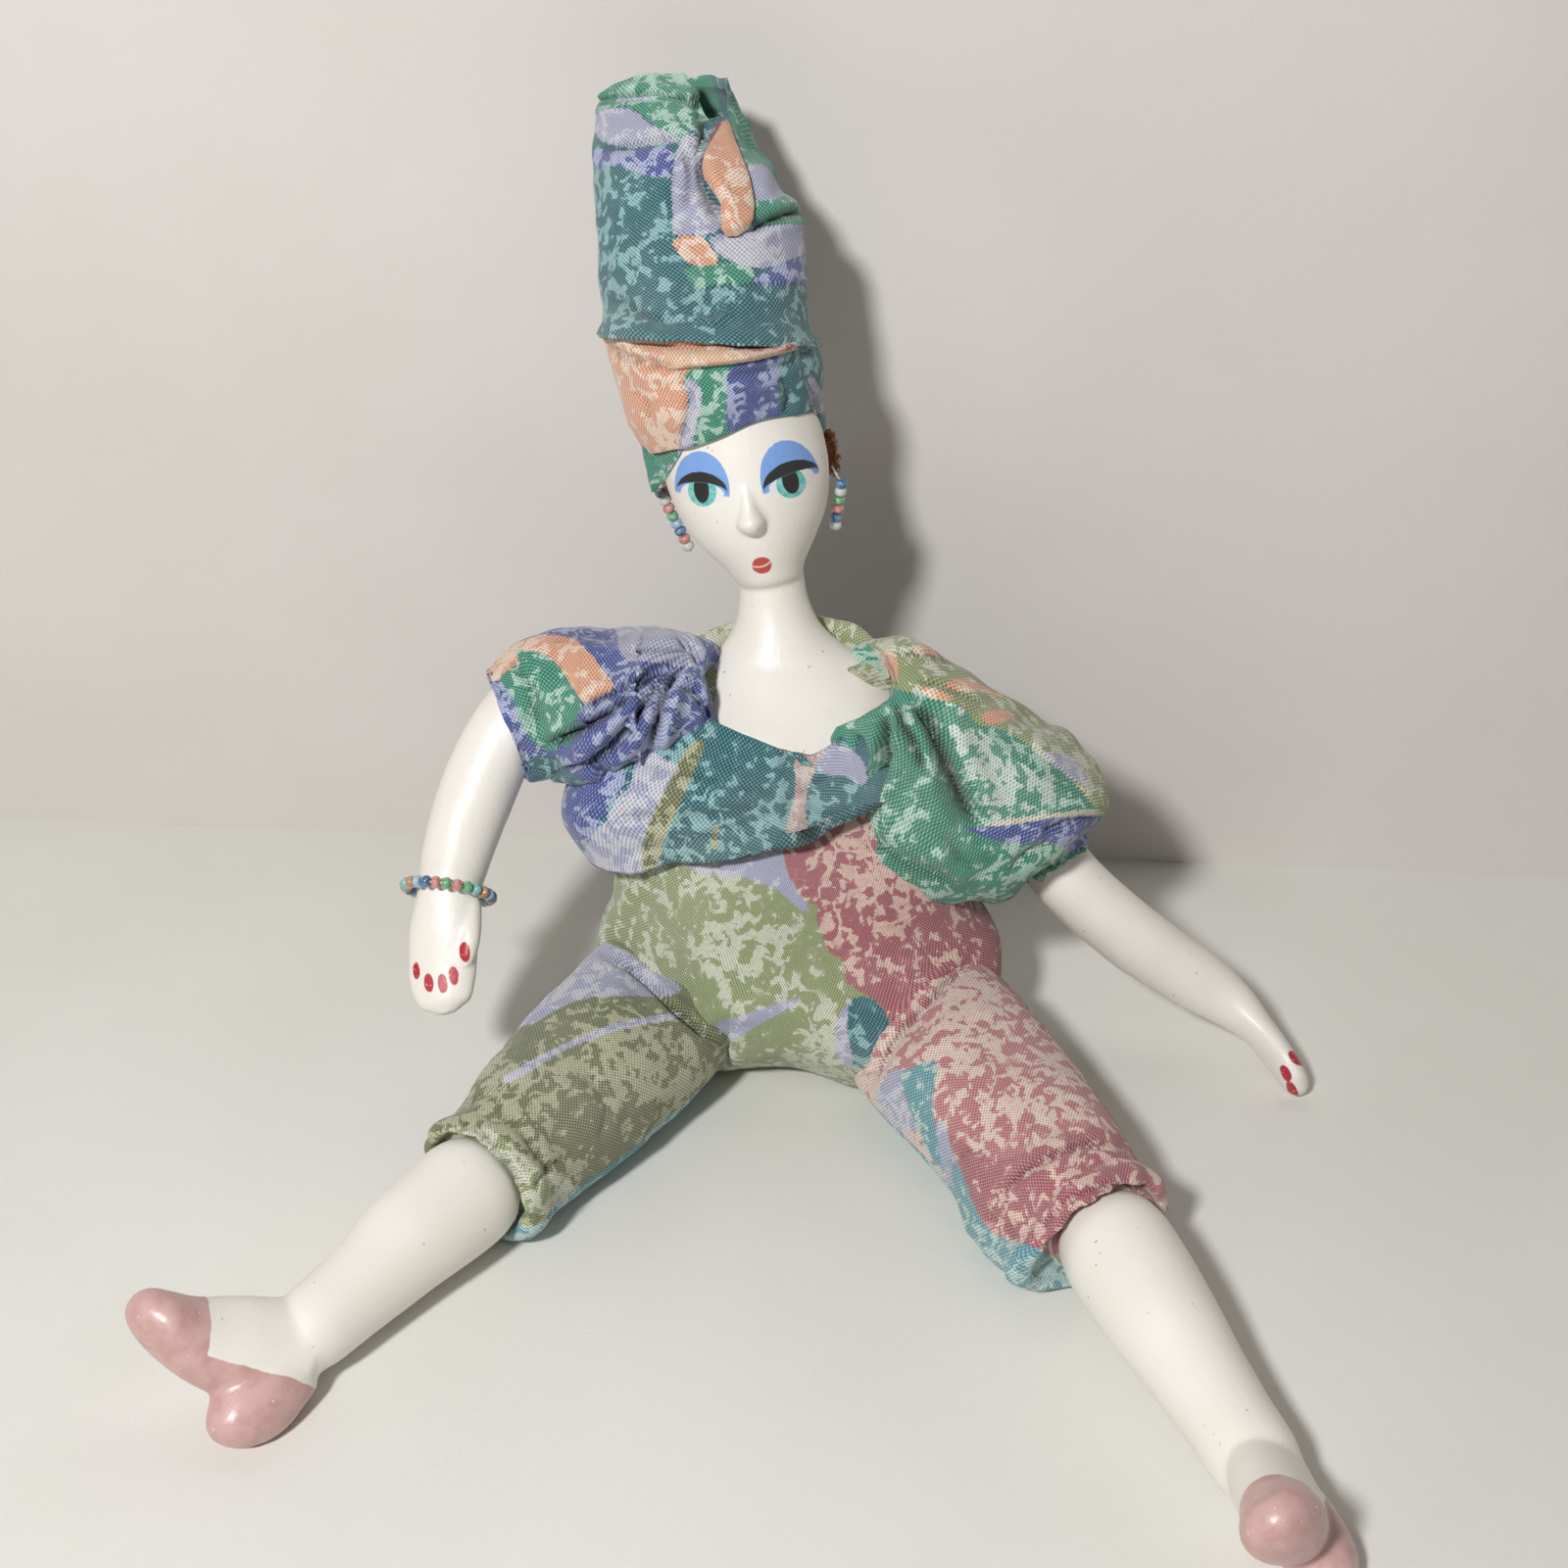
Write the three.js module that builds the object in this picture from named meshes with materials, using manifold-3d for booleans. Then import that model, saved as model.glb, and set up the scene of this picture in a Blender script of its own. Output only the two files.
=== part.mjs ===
// Doll with a seed-filled cloth body and painted head, arms and legs, seated and leaning back.
// Millimetres, +Z up. The doll faces -Y, its left is +X, and the origin is the middle of the seat.
import * as THREE from "three";
import { mergeVertices } from "three/addons/utils/BufferGeometryUtils.js";
import Module from "manifold-3d";

const wasm = await Module();
wasm.setup();

// Clearances and walls
const touchGap = 0.3;
const clothWall = 1.0;
const sleeveWall = 1.1;
const seatCut = 0.5;

// Trunk, from the seat up to the shoulders
const trunkHeight = 99;
const trunkLean = 14;
const trunkTilt = -1.5;
const pelvisTurn = -9;
const seatHalfWidth = 38;
const seatHalfDepth = 21;
const hipHalfWidth = 50.5;
const hipHalfDepth = 33;
const waistHalfWidth = 43;
const waistHalfDepth = 28;
const chestHalfWidth = 43;
const chestHalfDepth = 25;
const shoulderHalfWidth = 36;
const shoulderHalfDepth = 13;
const panelSeamBack = 4;

// Hips and thighs. A hip is the sewn crease that the thigh folds on.
const thighLength = 77;
const hipLift = 28;
const hipDrop = 58;
const hipPlay = 2;
const creaseBank = 10;
const creaseHalf = 24.5;
const hip = {
  right: { at: [-33.5, -6, 20], creaseTurn: -36, thighTurn: -31, creaseDepth: 4 },
  left: { at: [32.3, -16, 20], creaseTurn: 35, thighTurn: 26.5, creaseDepth: 0 },
};
const thighRootHalfWidth = 22.5;
const thighHalfWidth = 20;
const thighHalfHeight = 17;
const cuffHalfWidth = 16;

// Lower legs. The knee is the mouth of the gathered hem, where the leg comes out.
const knee = {
  right: { turn: -38, dip: 4.3, roll: 42, stub: 19.6 },
  left: { turn: 19.5, dip: 4.1, roll: -35, stub: 9.4 },
};
const legLength = 65.9;
const fillClear = 3;
const fillShort = Math.max(knee.right.stub, knee.left.stub) + fillClear;
const legTopRadius = 12.4;
const calfRadius = 11.6;
const ankleRadius = 8.8;
const stubRadius = 10;
const tieDepth = 5;
const tieWaist = 1;
const tieRadius = 0.5;
const hemWidth = 7;
const hemRadius = 15.6;

// Foot, shaped as a court shoe. Its toe leaves the leg's line by this angle.
const footPoint = 41.5;
const footLength = 38.8;
const footHalfWidth = 7.4;
const toeHalfWidth = 7.9;
const heelDrop = 25.8;

// Head, neck and shoulder plate
const neckPoint = [-5.8, 30.5, 114];
const headLean = 17;
const headTilt = 9.5;
const headHeight = 59;
const headHalfWidth = 19.6;
const headHalfDepth = 19.8;
const neckRadius = 8;
const plateHalfWidth = 33;
const plateHalfDepth = 25;
const plateLow = 80;
const plateWall = 3;
const plateFacet = 1.2;
const noseTop = 28;
const noseLength = 12;
const noseReach = 4.6;
const noseHalfWidth = 3.3;

// Turban
const bandLow = 35;
const bandHigh = 57;
const bandThickness = 2.2;
const crownLow = 50;
const crownHigh = 125;
const crownSlope = 3;
const crownHalfWidth = 23.7;
const crownHalfDepth = 17;
const crownFoldHalfDepth = 4.5;
const crownWall = 1.1;

// Arms. Each hangs on a level axis across the doll, at this height and depth.
const shoulder = {
  right: { plane: -47, axisY: 21, axisZ: 96 },
  left: { plane: 45, axisY: 21, axisZ: 78 },
};
const shoulderRadius = 8.5;
const armRadius = 9;
const wristRadius = 7.6;
const handHalfWidth = 8.2;
const handHalfThickness = 3.7;
const armClothWall = 1.1;

// Costume
const bodiceStandOff = 3.5;
const bodiceLow = 71;
const bodiceSlope = 19;
const bodiceHigh = 95;
const necklineHigh = 88.5;
const necklineSlope = 15;
const sleeveSweep = 27;
const collarHalfHeight = 4;
const collarHalfDepth = 2;

// Hair, beads and threads
const hairHalfWidth = 2.6;
const earX = -1.3;
const hairBack = 9.8;
const beadRadius = 1.55;
const beadLength = 2.0;
const beadSides = 7;
const threadRadius = 0.35;
const threadGap = 0.15;
const braceletBeads = 26;
const braceletRadius = 10.1;
const earringBeads = { right: 8, left: 6 };
const earringPitch = 2.15;
const earringOut = 0.4;
const earringBack = 2.2;
const earHigh = { right: 30, left: 27 };
const earringDrop = { right: 3, left: 4.4 };

const rad = THREE.MathUtils.degToRad;
const vec = (x, y, z) => new THREE.Vector3(x, y, z);

// Rows eased through a few key rows, one column at a time, so that no column overshoots its keys.
function ease(keys, count) {
  const last = keys.length - 1;
  const span = keys.slice(1).map((key, k) => Math.hypot(...[0, 1, 2].map((j) => key[j] - keys[k][j])));
  const rise = (k, j) => (keys[k + 1][j] - keys[k][j]) / span[k];
  const slope = (k, j) => {
    if (k === 0) return rise(0, j);
    if (k === last) return rise(last - 1, j);
    const before = rise(k - 1, j);
    const after = rise(k, j);
    if (before * after <= 0) return 0;
    const [near, far] = [2 * span[k] + span[k - 1], span[k] + 2 * span[k - 1]];
    return (near + far) / (near / before + far / after);
  };
  const rows = [];
  for (let i = 0; i <= count; i++) {
    const t = (i / count) * last;
    const k = Math.min(Math.floor(t), last - 1);
    const f = t - k;
    const [f2, f3] = [f * f, f * f * f];
    rows.push(
      keys[k].map((v, j) => {
        const leave = slope(k, j) * span[k];
        const arrive = slope(k + 1, j) * span[k];
        const ends = (2 * f3 - 3 * f2 + 1) * v + (3 * f2 - 2 * f3) * keys[k + 1][j];
        return ends + (f3 - 2 * f2 + f) * leave + (f3 - f2) * arrive;
      }),
    );
  }
  return rows;
}

// A closed body through rings of points, with a fan over each end.
function skin(rings) {
  const sides = rings[0].length;
  const points = rings.flat();
  const ends = [rings[0], rings.at(-1)].map((ring) =>
    ring.reduce((sum, p) => sum.add(p), vec(0, 0, 0)).divideScalar(sides),
  );
  const first = points.length;
  const index = [];
  for (let r = 0; r < rings.length - 1; r++)
    for (let s = 0; s < sides; s++) {
      const a = r * sides + s;
      const b = r * sides + ((s + 1) % sides);
      index.push(a, b, b + sides, a, b + sides, a + sides);
    }
  const top = (rings.length - 1) * sides;
  for (let s = 0; s < sides; s++) {
    const next = (s + 1) % sides;
    index.push(first, next, s);
    index.push(first + 1, top + s, top + next);
  }
  const geometry = new THREE.BufferGeometry().setFromPoints([...points, ...ends]);
  geometry.setIndex(index);
  return geometry;
}

// A form with elliptical sections. A key row is x, y, z, half width, half depth.
// side is the direction of a section's width, and level, if given, is the normal of every section.
function form(keys, options = {}) {
  const { sides = 24, rings = 16, side = vec(1, 0, 0), level, square = 2, grow = 0, folds } = options;
  const { past = grow } = options;
  const rows = ease(keys, rings);
  const at = rows.map((r) => vec(r[0], r[1], r[2]));
  const made = rows.map((row, i) => {
    const along = level
      ? level.clone()
      : at[Math.min(i + 1, rings)].clone().sub(at[Math.max(i - 1, 0)]).normalize();
    const width = typeof side === "function" ? side(i / rings) : side;
    const across = width.clone().addScaledVector(along, -width.dot(along)).normalize();
    const front = along.clone().cross(across);
    const centre = at[i].clone();
    if (i === 0) centre.addScaledVector(along, -past);
    if (i === rings) centre.addScaledVector(along, past);
    const ring = [];
    for (let s = 0; s < sides; s++) {
      const turn = (s / sides) * 2 * Math.PI;
      const c = Math.cos(turn);
      const n = Math.sin(turn);
      const ripple = folds ? 1 + folds.depth(i / rings) * Math.cos(folds.count * turn + 1.1) : 1;
      const reach = ripple / Math.pow(Math.abs(c) ** square + Math.abs(n) ** square, 1 / square);
      ring.push(
        centre
          .clone()
          .addScaledVector(across, c * reach * (row[3] + grow))
          .addScaledVector(front, n * reach * (row[4] + grow)),
      );
    }
    return ring;
  });
  return skin(made);
}

// manifold-3d solid of a geometry, and back
function solid(geometry) {
  const bare = new THREE.BufferGeometry().setAttribute("position", geometry.getAttribute("position"));
  if (geometry.index) bare.setIndex(geometry.index);
  const merged = mergeVertices(bare, 1e-4);
  return new wasm.Manifold(
    new wasm.Mesh({
      numProp: 3,
      vertProperties: merged.attributes.position.array,
      triVerts: new Uint32Array(merged.index.array),
    }),
  );
}

function geometryOf(body) {
  const mesh = body.getMesh();
  const position = new Float32Array(mesh.numVert * 3);
  for (let i = 0; i < mesh.numVert; i++)
    position.set(mesh.vertProperties.subarray(i * mesh.numProp, i * mesh.numProp + 3), i * 3);
  const geometry = new THREE.BufferGeometry();
  geometry.setAttribute("position", new THREE.BufferAttribute(position, 3));
  geometry.setIndex(new THREE.BufferAttribute(mesh.triVerts, 1));
  return geometry;
}

// The largest of a body's separate pieces, which drops slivers that a cut leaves.
const largest = (body) => body.decompose().sort((a, b) => b.volume() - a.volume())[0];

// A frame with its Z axis along a direction and its -Y axis as near as possible to a front.
function frame(at, along, front) {
  const z = along.clone().normalize();
  const y = front.clone().negate();
  y.addScaledVector(z, -y.dot(z)).normalize();
  const x = y.clone().cross(z);
  return new THREE.Matrix4().makeBasis(x, y, z).setPosition(at);
}

const material = (color, roughness, metalness = 0) =>
  new THREE.MeshStandardMaterial({ color, roughness, metalness });
const paint = material(0xe9e6e0, 0.4);
const print = {
  sage: material(0x8d9d78, 0.85),
  rose: material(0xa8646f, 0.85),
  teal: material(0x2f7f7c, 0.85),
  sea: material(0x4a9a82, 0.85),
  peach: material(0xd8a184, 0.85),
  lavender: material(0x9698c4, 0.85),
  blue: material(0x5b69ab, 0.85),
};
const hair = material(0x8a4a22, 0.6);
const seeds = material(0xb89a6a, 0.9);
const cord = material(0xdcd6c8, 0.7);
const glassTints = [0x9fd3d6, 0x86c79c, 0xe79a93, 0x3f7fae, 0xb7d4ea, 0xd99a62];
const glass = glassTints.map((tint) => material(tint, 0.15));

const doll = new THREE.Group();
function add(name, body, look) {
  const mesh = new THREE.Mesh(body.isBufferGeometry ? body : geometryOf(body), look);
  mesh.name = name;
  doll.add(mesh);
  return mesh;
}
const sidesOf = ["right", "left"];

// A large block below a height, or behind a point on the side that a normal leaves
function blockBehind(point, normal, size = 400) {
  const away = normal.clone().normalize();
  const turn = new THREE.Quaternion().setFromUnitVectors(vec(0, 0, 1), away);
  const middle = point.clone().addScaledVector(away, -size / 2);
  const block = new THREE.BoxGeometry(size, size, size);
  return solid(block.applyMatrix4(new THREE.Matrix4().compose(middle, turn, vec(1, 1, 1))));
}
const floorBelow = (z) => blockBehind(vec(0, 0, z), vec(0, 0, 1));

// A closed ring or spool turned about Z from half of its section
const turned = (outline, sides = 24) =>
  solid(new THREE.LatheGeometry(outline.map(([r, z]) => new THREE.Vector2(r, z)), sides).rotateX(Math.PI / 2));

// Trunk
const trunkAt = (z) => [z * Math.tan(rad(trunkTilt)), z * Math.tan(rad(trunkLean)), z];

function trunkForm(grow, inner = false) {
  const row = (share, halfWidth, halfDepth, back = 0, aside = 0) => {
    const [x, y, z] = trunkAt(share * trunkHeight);
    return [x + aside, y + back, z, halfWidth, halfDepth];
  };
  const keys = [
    row(0, seatHalfWidth, seatHalfDepth, 4),
    row(0.05, seatHalfWidth + 7, seatHalfDepth + 4.5, 3.5),
    row(0.14, hipHalfWidth, hipHalfDepth - 1.5, 1.5, 1.5),
    row(0.28, hipHalfWidth, hipHalfDepth, 0, 1.5),
    row(0.43, waistHalfWidth + 1, waistHalfDepth),
    row(0.57, waistHalfWidth, waistHalfDepth),
    row(0.71, chestHalfWidth, chestHalfDepth),
    row(0.84, chestHalfWidth - 3, chestHalfDepth - 5.5),
    row(0.93, shoulderHalfWidth, shoulderHalfDepth),
    row(1, shoulderHalfWidth - 14, shoulderHalfDepth - 5),
  ];
  keys[0][2] = -seatCut;
  const side = (share) => {
    const turn = rad(pelvisTurn) * Math.max(0, 1 - 2 * share);
    return vec(Math.cos(turn), Math.sin(turn), 0);
  };
  const detail = inner ? { sides: 18, rings: 9 } : { sides: 22, rings: 11 };
  const trunk = solid(form(keys, { ...detail, level: vec(0, 0, 1), side, square: 2.3, grow }));
  return sidesOf.reduce((all, name) => all.add(shoulderStub(name, grow)), trunk).subtract(floorBelow(-grow));
}

// Stuffed corner of the trunk that reaches out to the plane where the arm is sewn on
function shoulderStub(side, grow) {
  const { plane, axisY, axisZ } = shoulder[side];
  const inward = -Math.sign(plane);
  const keys = [
    [plane + inward * (20 + touchGap / 2), axisY, axisZ - 9, shoulderRadius + 2, shoulderRadius + 3],
    [plane + inward * (10 + touchGap / 2), axisY, axisZ - 3, shoulderRadius + 1, shoulderRadius + 2],
    [plane + inward * (touchGap / 2), axisY, axisZ, shoulderRadius, shoulderRadius],
  ];
  const past = Math.min(grow, 0);
  return solid(form(keys, { sides: 14, rings: 3, side: vec(0, 0, 1), level: vec(-inward, 0, 0), grow, past }));
}

// Directions at a hip: out from the crease, along the crease, and up from both
function hipDirections(side) {
  const turn = rad(hip[side].creaseTurn);
  const out = vec(Math.sin(turn), -Math.cos(turn), 0);
  const rise = (side === "right" ? -1 : 1) * Math.sin(rad(creaseBank));
  const crease = vec(Math.cos(turn), Math.sin(turn), rise).normalize();
  return { out, crease, up: out.clone().cross(crease).normalize() };
}

// Wedge about a hip's axis, cut from the trunk or from the thigh so that the crease can close.
// Its apex lies on the axis, drawn in by half a touching gap and by an inset for inner walls.
function hipWedge(side, from, inset = 0) {
  const { out, up } = hipDirections(side);
  const size = 160;
  const high = rad(90 + (hipLift + hipPlay) / 2);
  const low = -rad(90 + (hipDrop + hipPlay) / 2);
  const outline = new THREE.Shape([
    new THREE.Vector2(0, 0),
    new THREE.Vector2(size * Math.cos(low), size * Math.sin(low)),
    new THREE.Vector2(size, -size),
    new THREE.Vector2(size, size),
    new THREE.Vector2(size * Math.cos(high), size * Math.sin(high)),
  ]);
  const width = from === "trunk" ? 2 * (creaseHalf + touchGap + inset) : size;
  const wedge = new THREE.ExtrudeGeometry(outline, { depth: width, bevelEnabled: false });
  wedge.translate(-touchGap / 2 - 1.15 * inset, 0, -width / 2);
  const x = out.clone().multiplyScalar(from === "trunk" ? 1 : -1);
  const z = x.clone().cross(up);
  return solid(wedge.applyMatrix4(new THREE.Matrix4().makeBasis(x, up, z).setPosition(vec(...hip[side].at))));
}

function trunkCut(grow, inner = false) {
  const whole = trunkForm(grow, inner);
  return sidesOf.reduce((body, side) => body.subtract(hipWedge(side, "trunk", -grow)), whole);
}

// Thighs
const thighDirection = (side) => {
  const turn = rad(hip[side].thighTurn);
  return vec(Math.sin(turn), -Math.cos(turn), 0);
};
const thighAcross = (side) => {
  const out = thighDirection(side);
  return vec(-out.y, out.x, 0);
};
const thighPoint = (side, along, height) => {
  const point = vec(...hip[side].at).addScaledVector(thighDirection(side), along);
  return point.setZ(height);
};
const lengthOfThigh = (side) => thighLength - hip[side].creaseDepth;
const kneePoint = (side) => thighPoint(side, lengthOfThigh(side), hemRadius - seatCut);

function thighForm(side, grow, past = grow, inner = false) {
  const detail = inner ? { sides: 14, rings: 5 } : { sides: 20, rings: 8 };
  const level = thighDirection(side);
  const length = lengthOfThigh(side);
  const row = (along, height, halfWidth, halfHeight) => {
    return [...thighPoint(side, along, height), halfWidth, halfHeight];
  };
  const middle = thighHalfHeight - seatCut;
  const keys = [
    row(-12, middle + 2, thighRootHalfWidth, thighHalfHeight),
    row(0.15 * length, middle + 1, thighRootHalfWidth, thighHalfHeight + 1),
    row(0.4 * length, middle, thighHalfWidth + 1, thighHalfHeight),
    row(0.7 * length, middle - 0.6, thighHalfWidth - 1.5, thighHalfHeight - 0.6),
    row(length - hemWidth - touchGap, hemRadius - seatCut, cuffHalfWidth, hemRadius),
  ];
  const shape = form(keys, { ...detail, side: thighAcross(side), level, square: 2.2, grow, past });
  return solid(shape).subtract(hipWedge(side, "thigh", -grow)).subtract(floorBelow(-grow));
}

// Lower leg with its shoe. In its frame Z runs down the leg and -Y is the toe's side.
function kneeFrame(side) {
  const { turn, dip, roll } = knee[side];
  const along = vec(Math.sin(rad(turn)), -Math.cos(rad(turn)), -Math.tan(rad(dip)));
  const outward = vec(Math.cos(rad(turn)), Math.sin(rad(turn)), 0).multiplyScalar(side === "right" ? -1 : 1);
  const toes = vec(0, 0, Math.cos(rad(roll))).addScaledVector(outward, Math.sin(rad(roll)));
  return frame(kneePoint(side), along, toes);
}

function legBody(side) {
  const stub = -knee[side].stub;
  const shown = legLength + stub;
  const round = (along, radius, back = 0) => [0, back, along, radius, radius];
  const leg = [
    round(stub, 3),
    round(stub + 1.5, stubRadius - 1.5),
    round(stub + 4, stubRadius),
    round(-tieDepth, stubRadius - tieWaist),
    round(-1.5, legTopRadius - tieWaist),
    round(0.1 * shown, legTopRadius),
    round(0.4 * shown, calfRadius),
    round(0.65 * shown, calfRadius - 1.5, 0.8),
    round(0.88 * shown, ankleRadius + 0.3, 1),
    round(shown + 2, ankleRadius, 1.2),
    round(shown + 10, ankleRadius - 2, 2.5),
  ];
  const point = rad(footPoint);
  const at = (forward, down) => [
    0,
    down * Math.cos(point) - forward * Math.sin(point),
    shown + forward * Math.cos(point) + down * Math.sin(point),
  ];
  const step = (share, down, halfWidth, halfHeight) => [...at(share * footLength, down), halfWidth, halfHeight];
  const foot = [
    step(-0.02, 6, 4, 4),
    step(0.06, 6.5, footHalfWidth, 8.5),
    step(0.2, 7, footHalfWidth, 10.6),
    step(0.36, 7, footHalfWidth, 10.4),
    step(0.52, 6.5, footHalfWidth - 0.2, 9.4),
    step(0.67, 5.5, toeHalfWidth - 0.4, 8.1),
    step(0.8, 3.6, toeHalfWidth, 6.8),
    step(0.9, 1.9, toeHalfWidth - 1.5, 5.4),
    step(0.97, 1.1, toeHalfWidth - 4, 3.2),
    step(1, 1, 1.4, 1.2),
  ];
  const drop = (share, forward, halfWidth, halfLength) => {
    return [...at(forward, share * heelDrop), halfWidth, halfLength];
  };
  const heel = [
    drop(0.2, 8, footHalfWidth - 1.5, 8),
    drop(0.55, 9.4, footHalfWidth - 0.2, 10.4),
    drop(0.7, 11, footHalfWidth - 0.4, 9.4),
    drop(0.82, 12.3, footHalfWidth - 1, 8.4),
    drop(0.94, 13.5, footHalfWidth - 2.6, 5.8),
    drop(1, 14, 2, 2.4),
  ];
  const body = solid(form(leg, { sides: 16, rings: 12 }))
    .add(solid(form(foot, { sides: 12, rings: 9, level: vec(0, -Math.sin(point), Math.cos(point)) })))
    .add(solid(form(heel, { sides: 12, rings: 5, level: vec(0, Math.cos(point), Math.sin(point)) })));
  return body.transform(kneeFrame(side).elements).subtract(floorBelow(0));
}

// Rolled hem at the mouth of the thigh, and the gathering thread inside it, about the thigh's direction
function hemFrame(side) {
  return frame(kneePoint(side), thighDirection(side), vec(0, 0, 1));
}

function hemBody(side) {
  const gathers = { count: 13, depth: (share) => 0.03 * Math.sin(Math.PI * share) };
  const keys = [
    [0, 0, -hemWidth, cuffHalfWidth - 0.6, hemRadius - 0.6],
    [0, 0, -0.6 * hemWidth, cuffHalfWidth + 0.4, hemRadius - 0.1],
    [0, 0, -0.25 * hemWidth, cuffHalfWidth, hemRadius - 0.3],
    [0, 0, 0, cuffHalfWidth - 1.6, hemRadius - 1.4],
  ];
  const hole = legTopRadius + touchGap;
  const ring = solid(form(keys, { sides: 26, rings: 3, square: 2.1, folds: gathers }));
  const bore = turned([[0, -hemWidth - 5], [hole, -hemWidth - 5], [hole, 5], [0, 5]], 20);
  return ring.subtract(bore).transform(hemFrame(side).elements).subtract(floorBelow(0));
}

function tieBody(side) {
  const middle = legTopRadius - tieRadius;
  const ring = new THREE.TorusGeometry(middle, tieRadius, 4, 16).translate(0, 0, -tieDepth);
  return solid(ring).transform(hemFrame(side).elements);
}

// Head frame: origin at the narrowest place of the neck, Z up through the crown, -Y to the face
const headFrame = new THREE.Matrix4()
  .makeRotationFromEuler(new THREE.Euler(-rad(headLean), -rad(headTilt), 0, "YXZ"))
  .setPosition(vec(...neckPoint));

function headForm(grow) {
  const keys = [
    [0, -1.5, 1, 5, 5.5],
    [0, -1.6, 3, 7.7, 8.8],
    [-0.3, -1.4, 6, 9.1, 10.6],
    [-0.5, -1, 9, 11.2, 12.6],
    [-0.8, -0.6, 13, 14, 15],
    [-1, 0, 18, 16.9, 17.3],
    [-1.2, 0.3, 24, 18.7, 18.9],
    [-1.5, 0.6, 31, headHalfWidth, headHalfDepth - 0.3],
    [-2, 1, 0.66 * headHeight, headHalfWidth, headHalfDepth],
    [-2.5, 1, 0.81 * headHeight, headHalfWidth - 2, headHalfDepth - 2],
    [-3, 1, 0.92 * headHeight, headHalfWidth - 6.5, headHalfDepth - 6.5],
    [-3, 1, 0.98 * headHeight, 7, 7],
    [-3, 1, headHeight, 1.5, 1.5],
  ];
  return solid(form(keys, { sides: 22, rings: 12, level: vec(0, 0, 1), grow })).transform(headFrame.elements);
}

// Neck and shoulder plate, widening down to the rim that the cloth is sewn over
function plateForm(grow, past = grow, inner = false) {
  const [x, y, z] = neckPoint;
  const low = plateLow;
  const keys = [
    [0, y - 13, low, plateHalfWidth, plateHalfDepth],
    [0.3, y - 10.5, low + 8, plateHalfWidth - 3.5, plateHalfDepth - 5],
    [0.5, y - 9, low + 12, plateHalfWidth - 6, plateHalfDepth - 8],
    [-0.3, y - 8, low + 15, plateHalfWidth - 9.5, plateHalfDepth - 10.5],
    [-1.5, y - 7, low + 17.5, plateHalfWidth - 13, plateHalfDepth - 12.5],
    [-3.3, y - 5, low + 21.5, plateHalfWidth - 18.5, plateHalfDepth - 15],
    [-4.2, y - 3.5, z - 9, neckRadius + 3.2, neckRadius + 1.5],
    [-5, y - 2, z - 5, neckRadius + 1.2, neckRadius + 0.6],
    [x, y, z + 1, neckRadius, neckRadius],
    [x - 0.9, y + 1.8, z + 7, neckRadius, neckRadius],
  ];
  const detail = inner ? { sides: 14, rings: 9 } : { sides: 20, rings: 10 };
  return solid(form(keys, { ...detail, level: vec(0, 0, 1), grow, past }));
}

// The plate alone, hollow from below, and the same space grown by a gap for the seeds round it
function plateShell(gap = 0) {
  const inside = plateForm(-plateWall - gap, plateWall + 2, true);
  const roof = blockBehind(vec(0, 0, neckPoint[2] - 12 - gap), vec(0, 0, -1));
  const outside = gap > 0 ? plateForm(gap + plateFacet, gap, true) : plateForm(0);
  return outside.subtract(inside.subtract(roof));
}

function noseForm() {
  const face = (along) => -headHalfDepth + 1.2 + 0.16 * Math.max(0, 26 - along);
  const row = (share, halfWidth, reach) => {
    const along = noseTop - share * noseLength;
    return [-1, face(along) + 2 - reach / 2, along, halfWidth, 2 + reach / 2];
  };
  const keys = [
    row(0, 0.8, 0.1),
    row(0.25, 1.7, 1),
    row(0.6, noseHalfWidth - 0.9, 0.65 * noseReach),
    row(0.82, noseHalfWidth, noseReach),
    row(0.95, noseHalfWidth - 0.7, noseReach - 0.6),
    row(1.04, 1.2, noseReach - 2.4),
  ];
  return solid(form(keys, { sides: 12, rings: 7, level: vec(0, 0, -1) })).transform(headFrame.elements);
}

// Turban: a wrapped band round the head, and a tall tube tucked into it and open in a fold at the top
function bandForm(grow) {
  const row = (share, spread) => {
    const along = bandLow + share * (bandHigh - bandLow);
    return [-3 - 2.2 * share, 1 - share, along, headHalfWidth + spread, headHalfDepth + spread];
  };
  const keys = [
    row(0, bandThickness - 0.6),
    row(0.2, bandThickness + 0.4),
    row(0.5, bandThickness + 1.8),
    row(0.8, bandThickness + 2.9),
    row(1, bandThickness + 2.2),
  ];
  return solid(form(keys, { sides: 22, rings: 5, level: vec(0, 0, 1), grow })).transform(headFrame.elements);
}

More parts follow.
